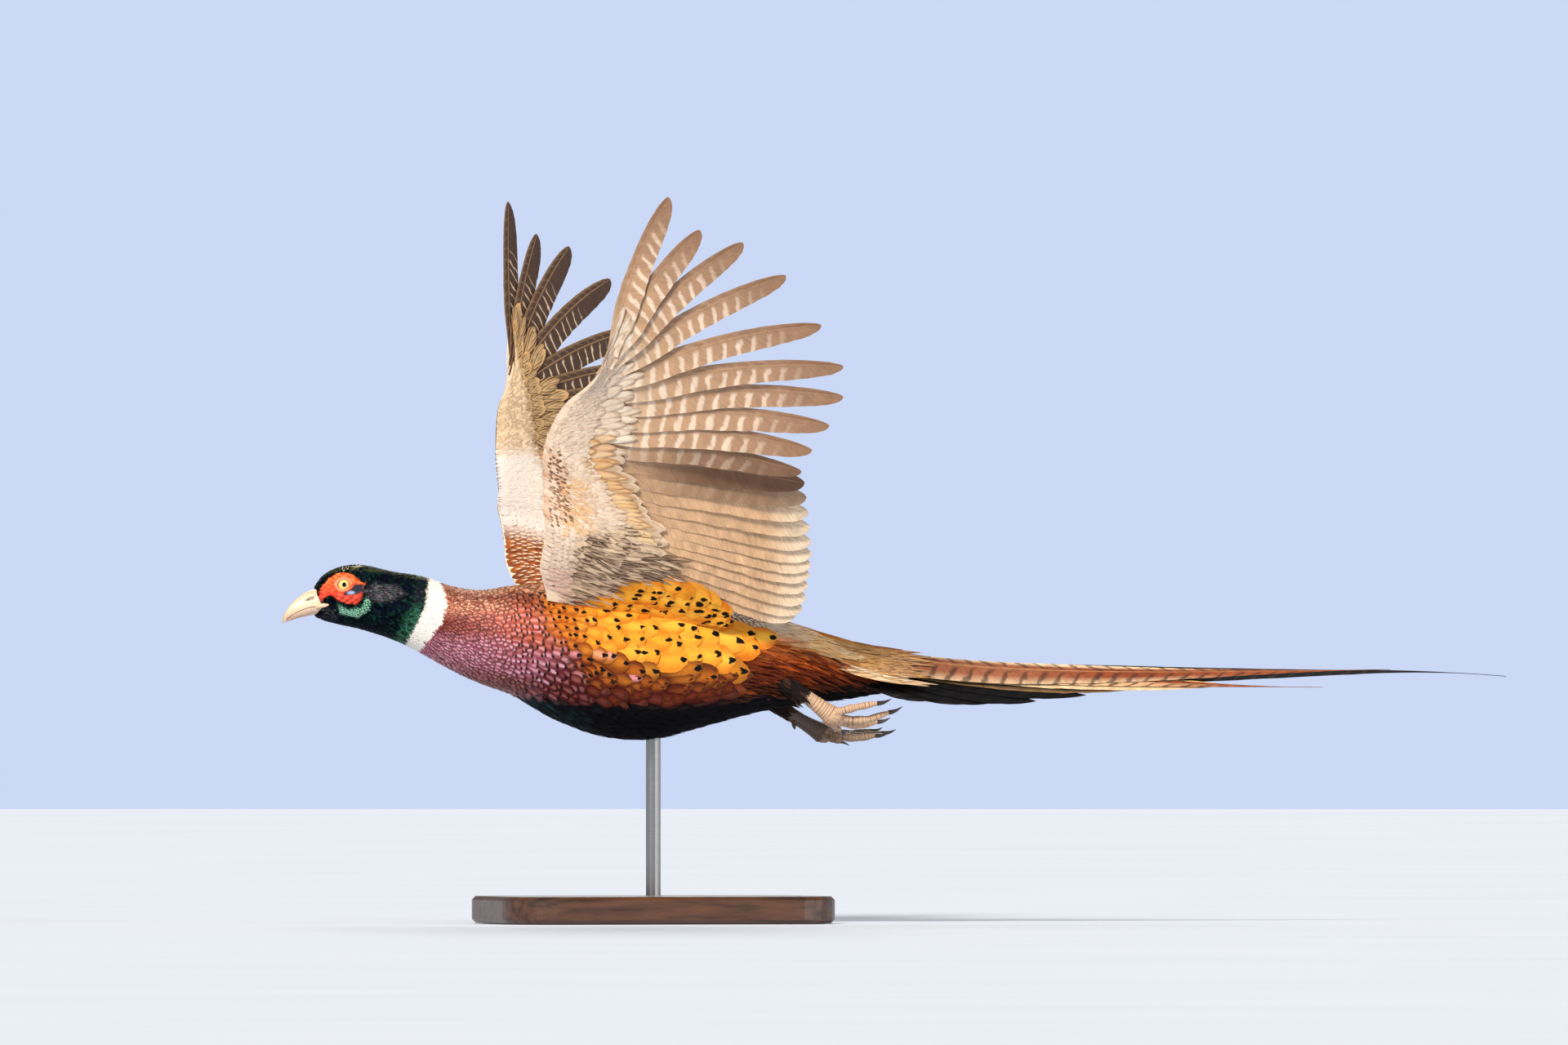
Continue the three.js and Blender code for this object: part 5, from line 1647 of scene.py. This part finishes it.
def wing_coat(side):
    """Coverts of one side of the right wing, with their marks."""
    u, v, length, half, kind = covert_rows(side)
    count = len(u)
    one = np.ones(count)
    draw = rng.random((count, 5))
    share = np.clip(-u / wing_flesh(v)[0], 0, 1)
    half = half * (mixed(1, 0.22, ramp(v, 24.4, 25.6)) if side < 0 else 1)
    hand = ramp(v, 10.5, 9)
    inner = ramp(v, 19, 21.5)
    greater, median, lesser, axillary = ((kind == k) * one for k in range(4))
    bars = 0 * one
    if side > 0:
        patterned = greater + median
        tone = layered([
            (one, mixed(CREAM, paint(232, 226, 226), 0.75)),
            (patterned, mixed(DARK_BROWN, BROWN, 0.25)),
            (patterned * (1 - hand), mixed(BROWN, TAN, 0.3)),
            (lesser * hand, mixed(BUFF, CREAM, 0.65)),
            (0.5 * lesser * hand * draw[:, 3], mixed(BROWN, TAN, 0.4)),
            (lesser * ramp(share, 0.25, 0.05) * 0.6 * draw[:, 0], mixed(BROWN, TAN, 0.5)),
            (inner, mixed(SCAPULAR_COPPER, COPPER_DARK, 0.6 * draw[:, [2]])),
        ])
        mark = layered([
            (one, BUFF),
            (lesser * (1 - hand), paint(190, 180, 176)),
            (inner, DARK_BROWN),
            (lesser * hand, BROWN),
        ])
        glow = layered([(one, CREAM), (patterned * (1 - inner), paint(246, 214, 164))])
        rim = 0.7 * patterned * (1 - inner) * (draw[:, 4] > 0.3) + 0.1 * lesser + 0.6 * inner
        streak = 0.3 * patterned + 0.35 * lesser + 0.9 * inner
        spot = 0.25 * lesser * hand * (draw[:, 3] > 0.5)
        bars = 0.55 * patterned * (1 - inner)
    else:
        px, py = seen(wing_side(-1)(u + 0.8 * length, v))
        spots = ramp(inside(BROWN_SPOTS, px, py), -3, 4) * (lesser + median)
        patch = ramp(inside(BUFF_PATCH, px, py), -8, 6) * (1 - greater) * (draw[:, 2] > 0.4)
        comb = ramp(inside(COMB, px, py), -3, 3) * median
        dark = np.maximum(ramp(inside(AXILLARIES, px, py), -8, 10), axillary * ramp(py, 652, 668))
        keep = (below_flank_top(px, py) < 6) & ((v < 24.9) | (share < 0.75))
        pink = ramp(inside(BARE_PINK, px, py), -8, 4)
        inner = dark
        dark_or_pale = smooth(draw[:, [2]] * 1.3 - 0.25)
        axillary_tone = mixed(mixed(BROWN, DARK_BROWN, 0.75), mixed(TAUPE, CREAM, 0.6), dark_or_pale)
        tone = layered([
            (one, mixed(mixed(CREAM, paint(255, 240, 220), 0.5), PINK_CREAM, 0.2 + 0.5 * draw[:, [4]])),
            (greater * (1 - hand), mixed(TAN, TAUPE, 0.5)),
            (0.7 * greater * hand, mixed(CREAM, paint(255, 244, 226), 0.6)),
            (0.35 * (median + lesser) * hand * draw[:, 0] ** 2, TAN),
            (0.35 * lesser * (1 - hand) * draw[:, 0] ** 3, mixed(TAN, BROWN, 0.3)),
            (0.5 * median * (1 - hand) * draw[:, 1] ** 2, mixed(TAN, BROWN, 0.2)),
            (comb * (0.6 + 0.4 * draw[:, 0]), mixed(BUFF, paint(206, 150, 96), 0.8 * draw[:, [1]])),
            (0.85 * patch * (0.5 + 0.5 * draw[:, 1]), paint(232, 172, 104)),
            (0.6 * spots * draw[:, 0], paint(204, 134, 76)),
            (0.5 * greater * hand * draw[:, 1] ** 2, mixed(BUFF, TAN, 0.6)),
            (dark, axillary_tone),
            (0.8 * pink, mixed(PINK_CREAM, paint(232, 178, 160), 0.5)),
        ])
        mark = layered([
            (one, mixed(TAN, BROWN, 0.3)),
            (greater * (1 - hand), CREAM),
            (spots, BROWN),
            (comb, paint(176, 120, 74)),
        ])
        glow = layered([(one, CREAM), (dark, mixed(TAUPE, CREAM, 0.4)), (comb, paint(250, 214, 158))])
        rim = 0.6 * greater * (1 - hand) + 0.5 * greater * hand + 0.45 * median + 0.15 * lesser + 0.2 * comb
        rim = rim * (1 - dark)
        streak = 0.3 * greater + 0.5 * median + 0.3 * lesser + 0.45 * dark
        spot = spots * (draw[:, 3] > 0.35) + 0.25 * lesser * (draw[:, 3] > 0.85)
    coat = {
        "tone": np.clip(tone, 0, 1), "mark": mark, "glow": glow, "soft": lesser + axillary,
        "plan": stacked(np.clip(spot, 0, 1), 0.8, 0.2),
        "trim": stacked(np.clip(rim, 0, 1), np.clip(streak, 0, 1), 0),
        "more": stacked(0.9, rng.random(count), bars),
        "form": stacked(0.8 - 0.35 * inner * (side > 0), 0.45, 5),
        "u": u, "v": v, "length": length, "half": half,
        "lean": rng.normal(0, 0.06, count) + rng.normal(0, 0.1, count) * axillary,
        "root_lift": -0.03 * length - 0.3,
        "tip_lift": 0.12 + 0.2 * draw[:, 0] + 0.01 * length - 0.5 * greater - 0.1 * median
        + 1.2 * axillary * draw[:, 1],
        "camber": np.full(count, 0.06),
        "bake": stacked(*unwrap_wing(u, v, side)),
    }
    return coat if side > 0 else chosen(coat, keep)


flank_coat = flank_on_wing()
wing_coats = {side: wing_coat(side) for side in (1, -1)}
for left, side_name in ((True, "left"), (False, "right")):
    made = blades_piece("wing_flight_" + side_name, flight, left)
    dress(made, plumes["flight"], "wing_hand_" + side_name, "wing_arm_" + side_name)
    for side, level in ((1, "over"), (-1, "under")):
        for soft, shape, piece_name in ((False, ROUND_SCALE, "coverts"), (True, LOOSE_SCALE, "down")):
            coverts = chosen(wing_coats[side], (wing_coats[side]["soft"] > 0.5) == soft)
            laid = lay(wing_side(side), -side, shape, coverts, 0.012)
            cover = coat_piece(f"wing_{piece_name}_{level}_{side_name}", laid, shape, coverts, left)
            dress(cover, plumes["wing"])
    laid = lay(wing_side(-1), 1, LONG_SCALE, flank_coat, 0.02)
    dress(coat_piece("flank_upper_plumage_" + side_name, laid, LONG_SCALE, flank_coat, left), plumes["flank"])


# Tail: a roof whose two halves slope down at 45 degrees from the ridge.
SLOPE = math.sqrt(0.5)
TAIL_DOWN, TAIL_UP = np.array([0, SLOPE, -SLOPE]), np.array([0, SLOPE, SLOPE])


def tail_ridge(x):
    """Height of the tail's ridge: it falls off by an exponent, and droops by a square past 500 mm."""
    return 172.3 + 20.8 * np.exp(-(x - 119.6) / 67) - 0.0005 * np.maximum(0, x - 500) ** 2


def tail_quill(j, tip_x):
    """The quill of a tail feather of the right side: it leaves the tail's root and slides down the slope."""

    def quill(u):
        x = mixed(116, tip_x, u)
        down = mixed(4 + 0.9 * j, TAIL_TIPS[j][1], smooth(u)) + (3 * np.sin(math.pi * u) if j == 0 else 0)
        ridge = stacked(x, 0, tail_ridge(x))
        return ridge + TAIL_DOWN * down[:, None] - TAIL_UP * 1.05 * j

    return quill


def tail_feather(j, tip_x):
    """A tail feather of the right side, number 0 in the middle. Its trailing vane stops at the tail's
    ridge."""
    lead, trail = (15, 8) if j == 0 else (10, 10)
    made = blade(
        tail_quill(j, tip_x), TAIL_UP, lead, trail, 0.0, longest_form if j < 2 else pointed_form,
        rows=60 if j < 2 else 40, crowd=1.15, seed=50 + j,
        room=lambda at: np.maximum(at[:, 1] - 0.15, 0) / SLOPE,
    )
    # The tail's under sides and its outer feathers are painted near black, as painted shadow.
    shadow_black = paint(5, 4, 6)

    def top_tone(t, s):
        x = mixed(116, tip_x, t)
        brown = mixed(paint(158, 96, 66), paint(138, 66, 36), ramp(x, 230, 330)[..., None])
        brown = mixed(brown, mixed(CHESTNUT, BROWN, 0.5), ramp(x, 330, 430)[..., None])
        brown = mixed(brown, DARK_BROWN, ramp(x, 450, 575)[..., None])
        pale = mixed(CREAM, BUFF, 0.45)
        if j == 0:
            ridge_edge = ramp(s, -0.45, -0.8) * ramp(x, 420, 330)
            low_edge = ramp(s, 0.62, 0.85) * ramp(x, 420, 330) * 0.7
            return mixed(brown, pale, np.maximum(ridge_edge, low_edge)[..., None])
        if j == 1:
            return mixed(brown, mixed(pale, GOLD, 0.3), (ramp(s, -0.1, 0.2) * ramp(x, 420, 300))[..., None])
        if j == 2:
            return mixed(mixed(BUFF, OLIVE, 0.4), pale, (0.8 * ramp(s, 0.2, 0.6))[..., None])
        return mixed(shadow_black, mixed(BUFF, BROWN, 0.5), 0.5 * ramp(s, 0.7, 0.95)[..., None] * (j == 3))

    strength = (0.7, 0.8, 0.15)[j] if j < 3 else 0.1
    return {
        "blade": made,
        "top": {"tone": top_tone, "bar": DARK_BROWN, "lead": mixed(BUFF, BROWN, 0.35) if j < 3 else shadow_black,
                "plan": np.array([12.7, 0.26, 9.0]), "trim": np.array([strength, strength, 1.6]),
                "edge": 0.0},
        "under": {"tone": shadow_black, "bar": BROWN, "lead": DARK_BROWN,
                  "plan": np.array([12.7, 0.22, 6.0]), "trim": np.array([0.2, 0.2, 0.6]), "edge": 0.0},
    }


def roof(x, down):
    """The right half of the tail's roof: down its slope from the ridge."""
    return stacked(x, down * SLOPE, tail_ridge(x) + 1.2 - down * SLOPE)


def tail_covert_coat():
    """Long loose coverts over the root of the tail: olive gold on the ridge, chestnut strands lower down."""
    x, down = (v.ravel() for v in grid(np.arange(86, 146, 3.6), np.arange(0.6, 28.4, 1.5)))
    count = len(x)
    one = np.ones(count)
    draw = rng.random((count, 4))
    low = ramp(down + 4 * draw[:, 0], 17, 24) * ramp(x, 112, 98)
    tone = layered([
        (one, mixed(mixed(OLIVE, GOLD, 0.5), paint(255, 198, 118), draw[:, [1]])),
        (0.5 * (draw[:, 2] > 0.85) * ramp(x, 120, 95), mixed(RUMP_GREY, OLIVE, 0.3)),
        (0.95 * ramp(np.abs(down - 25.5), 2.6, 1.4) * ramp(x, 98, 108), paint(255, 236, 200)),
        (0.9 * low, mixed(CHESTNUT, ORANGE, 0.5 * draw[:, [3]])),
        (ramp(x, 112, 138) * draw[:, 0], paint(180, 128, 92)),
    ])
    length = mixed(20.0, 52.0, draw[:, 3]) * (1 - 0.2 * low)
    return {
        "tone": tone, "mark": mixed(tone, DARK_BROWN, 0.6), "glow": mixed(tone, CREAM, 0.3),
        "plan": stacked(0 * one, 1, 1),
        "trim": stacked(0.5 * one, 0.9, 0.1),
        "more": stacked(0.9, rng.random(count), 0),
        "form": stacked(0.8 * one, 0.1, 5),
        "u": x + rng.normal(0, 3.5, count), "v": down, "length": length, "half": mixed(2.0, 1.3, low),
        "lean": 0.05 + rng.normal(0, 0.05, count), "root_lift": -2.2 * one,
        "tip_lift": 0.4 + 0.7 * draw[:, 0], "camber": 0.1 * one,
        "bake": stacked(*unwrap_body(x, 0.1 + down * 0.05)),
    }


tail_coat = tail_covert_coat()
tail_laid = lay(roof, 1, LOOSE_SCALE, tail_coat, 0.02)
for left, side_name, middle_tip in ((True, "left", 515), (False, "right", TAIL_TIPS[0][0])):
    feathers = [tail_feather(j, middle_tip if j == 0 else tip_x) for j, (tip_x, _) in enumerate(TAIL_TIPS)]
    stands_for = ["tail"] if left else []
    dress(blades_piece("tail_feathers_" + side_name, feathers, left), plumes["tail"], *stands_for)
    dress(coat_piece("tail_coverts_" + side_name, tail_laid, LOOSE_SCALE, tail_coat, left), plumes["back"])


# Legs.
def thigh_coat(side_sign):
    """Dark feathers over the upper shank, by place along it in millimetres and turn round it."""
    along, turn = (v.ravel() for v in np.meshgrid(np.arange(6, 56, 2.4), round_angles(30)))
    count = len(along)
    one = np.ones(count)
    draw = rng.random((count, 2))
    tone = layered([
        (one, mixed(BELLY_BLACK, DARK_BROWN, 0.25 * draw[:, [0]])),
        (0.2 * (draw[:, 1] > 0.85), BROWN),
    ])
    return {
        "tone": tone, "mark": np.tile(SPOT_BLACK, (count, 1)), "glow": mixed(tone, TAUPE, 0.12),
        "plan": stacked(0 * one, 1, 1), "trim": stacked(0.1 * one, 0.2, 0),
        "more": stacked(0.9, rng.random(count), 0),
        "form": stacked(0.8 * one, 0.1, 5),
        "u": along + rng.normal(0, 0.8, count), "v": turn + rng.normal(0, 0.08, count),
        "length": 12 + 4 * draw[:, 0], "half": 1.5 * one, "lean": rng.normal(0, 0.12, count),
        "root_lift": -0.8 * one, "tip_lift": 0.2 + 0.5 * draw[:, 1], "camber": 0.1 * one,
        "bake": stacked(*unwrap_body(50 + along, side_sign * (2.3 + 0.04 * turn))),
    }


def thigh_surface(shank):
    """The feathered part of a leg: a cone that runs down the shank from inside the trunk."""
    top, end = np.array(shank[0]), np.array(shank[-1])
    line = np.array([[44, 0.8 * top[1], top[2] + 14], top, mixed(top, end, 0.72)])
    reach = np.linalg.norm(np.diff(line, axis=0), axis=1).sum()

    def surface(along, turn):
        t = np.clip(along / reach, 0, 1)
        at, across, other = limb_frame(line, t)
        radius = mixed(16.0, 6.1, smooth(t * 1.1))[..., None]
        return at + radius * (across * np.cos(turn)[..., None] + other * np.sin(turn)[..., None])

    return surface


leg_material = painted_material("leg scales", 0.55, 500.0, 0.4)
claw_material = painted_material("claw horn", 0.35, 600.0, 0.15)
for side_sign, (side_name, leg) in zip((-1, 1), LEGS.items()):
    # The right leg, on the far side, is painted dark as painted shadow from the body, and its toes half as
    # dark.
    painted_shade = LEG_BUFF if side_name == "left" else mixed(LEG_BUFF, paint(60, 50, 52), 0.85)
    toe_painted_shade = mixed(LEG_BUFF, painted_shade, 0.5)
    # Creases between the scutes are painted darker, as painted shade.
    crease_shade = paint(64, 46, 40)
    parts = [limb(leg["shank"], [5.6, 5.4, 5, 4.8, 4.8, 5.6, 7], 200, 24, 0.35, 30, painted_shade, crease_shade)]
    for i, line in enumerate(leg["toes"]):
        radii = np.array([1.0, 1.02, 0.84, 0.95, 0.74, 0.8, 0.62, 0.4]) * (2.5 if i == 3 else 3.3)
        parts.append(limb(line, radii * 0.92, 130, 20, 0.34, 20, toe_painted_shade, crease_shade))
    down, around = grid(np.linspace(0, math.pi, 22)[1:-1], round_angles(26))
    ball = stacked(np.sin(down) * np.cos(around) * 7, np.sin(down) * np.sin(around) * 6.5, np.cos(down) * 5.6)
    wrinkle = 1 + 0.05 * np.sin(2.6 * (ball[..., 0] - 0.8 * ball[..., 2]))
    toe_root = np.array(leg["toes"][1][0])
    palm = turned_out(*tube(ball * wrinkle[..., None] * 1.08 + toe_root))
    off = palm[0] - toe_root
    # The palm's wrinkles darken as painted shade.
    dark = 0.5 * ramp(np.sin(2.6 * off[:, 0] - 2.08 * off[:, 2]), 0, -1)
    parts.append((palm, mixed(np.tile(toe_painted_shade, (len(dark), 1)), crease_shade, dark[:, None])))
    scaled = make_mesh("leg_scales_" + side_name, *merged([shape for shape, _ in parts]))
    set_colour(scaled, "tone", np.vstack([tone for _, tone in parts]))
    dress(scaled, leg_material, "leg_" + side_name, "foot_" + side_name)
    claws = []
    for i, (_, bend, end) in enumerate(np.array(line, float) for line in leg["toes"]):
        size = 0.7 if i == 3 else 1
        way = unit(end - bend)
        t = np.linspace(0, 1, 6)[:, None]
        lift = 3.4 * t * t - 2.2 * t if i < 3 else 0.8 * t - 2.6 * t * t
        arc = end + way * (10.3 * size * t - 1.5) + np.array([0, 0, 1]) * size * lift
        claws.append(limb(arc, np.array([1.6, 1.5, 1.15, 0.7, 0.15]) * size, 24, 12))
    horn = make_mesh("claws_" + side_name, *merged([shape for shape, _ in claws]))
    set_colour(horn, "tone", np.vstack([tone for _, tone in claws]))
    dress(horn, claw_material, *[f"claw_{side_name}_{i}" for i in (1, 2, 3, 4)])
    thigh = thigh_coat(side_sign)
    laid = lay(thigh_surface(leg["shank"]), -1, LOOSE_SCALE, thigh, 0.03)
    dress(coat_piece("thigh_plumage_" + side_name, laid, LOOSE_SCALE, thigh), plumes["belly"])


# The CAD nodes that stay in view.
def wood_material():
    """Dark wood with a grain stretched along the stand."""
    made, n, shader = new_material("dark wood", roughness=0.35, coat_weight=0.3)
    stretch = n.add("ShaderNodeMapping")
    stretch.inputs["Scale"].default_value = (6, 60, 60)
    n.plug(stretch.inputs["Vector"], n.place())
    grain = n.noise(stretch.outputs[0], 3.0, 6.0, 0.65)
    grained = n.mix(n.ramp(grain, 0.3, 0.7), opaque(44, 26, 18), opaque(96, 60, 38))
    n.plug(shader.inputs["Base Color"], grained)
    bump(n, shader, grain, 0.15, 0.0005)
    return made


def steel_material():
    """Brushed steel with fine lines round the rod."""
    made, n, shader = new_material("brushed steel", roughness=0.3, metallic=1.0)
    stretch = n.add("ShaderNodeMapping")
    stretch.inputs["Scale"].default_value = (1, 1, 80)
    n.plug(stretch.inputs["Vector"], n.place())
    grain = n.noise(stretch.outputs[0], 40.0, 3.0)
    n.plug(shader.inputs["Base Color"], n.mix(grain, opaque(150, 150, 152), opaque(190, 190, 190)))
    bump(n, shader, grain, 0.1, 0.0002)
    return made


def claw_node_material():
    """Brown horn with a mild clouding."""
    made, n, shader = new_material("spur horn", roughness=0.4)
    grain = n.noise(n.place(), 500.0, 3.0)
    n.plug(shader.inputs["Base Color"], n.mix(grain, opaque(70, 56, 48), opaque(128, 104, 84)))
    return made


spur_finish = claw_node_material()
node_finishes = {
    "stand_base": wood_material(),
    "stand_rod": steel_material(),
    "spur_left": spur_finish,
    "spur_right": spur_finish,
}
for node, material in node_finishes.items():
    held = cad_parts[node]
    held.data.materials.clear()
    held.data.materials.append(material)


# Floor, light and background.
def floor_disc():
    """A flat disc of rings round the stand, half a millimetre below it. Only its inner end is closed by a
    fan."""
    columns = 128
    turn = round_angles(columns)
    rings = [stacked(r * np.cos(turn), r * np.sin(turn), -0.5) for r in (1, 1000, 4000, 12000)]
    points, quads, triangles = tube(np.stack(rings))
    return make_mesh("floor", points, quads, triangles[:columns])


floor = floor_disc()
floor_material, n, shader = new_material("pale floor", roughness=0.8)
cloudy = n.noise(n.place(), 3.0, 3.0)
n.plug(shader.inputs["Base Color"], n.mix(cloudy, opaque(206, 214, 230), opaque(216, 222, 236)))
floor.data.materials.append(floor_material)


def studio_light(name, place, width, power, colour):
    """A soft distant lamp in the direction of a place, so that bird and floor are lit evenly. Its width is
    an angle."""
    data = bpy.data.lights.new(name, "SUN")
    data.energy, data.angle, data.color = power, width, colour
    made = bpy.data.objects.new(name, data)
    bpy.context.scene.collection.objects.link(made)
    made.location = place
    aim = Vector((0.05, 0, 0.25)) - made.location
    made.rotation_euler = aim.to_track_quat("-Z", "Y").to_euler()
    return made


studio_light("key light", (-1.7, -2.2, 2.3), 0.23, 3.7, (1.0, 0.94, 0.84))
studio_light("fill light", (2.4, -1.6, 0.9), 0.67, 1.3, (1.0, 0.95, 0.88))
studio_light("back light", (0.8, 2.4, 1.8), 0.47, 1.1, (1.0, 0.98, 0.95))

world = bpy.data.worlds.new("studio")
bpy.context.scene.world = world
world.use_nodes = True
w = Nodes(world.node_tree)
shown = w.add("ShaderNodeBackground")
shown.inputs["Color"].default_value = opaque(203, 217, 246)
soft = world.node_tree.nodes["Background"]
soft.inputs["Color"].default_value = (0.86, 0.92, 1.0, 1)
soft.inputs["Strength"].default_value = 0.22
choice = w.add("ShaderNodeMixShader")
w.plug(choice.inputs[0], w.add("ShaderNodeLightPath").outputs["Is Camera Ray"])
w.plug(choice.inputs[1], soft.outputs[0])
w.plug(choice.inputs[2], shown.outputs[0])
w.plug(world.node_tree.nodes["World Output"].inputs["Surface"], choice.outputs[0])
bpy.context.scene.view_settings.view_transform = "Standard"
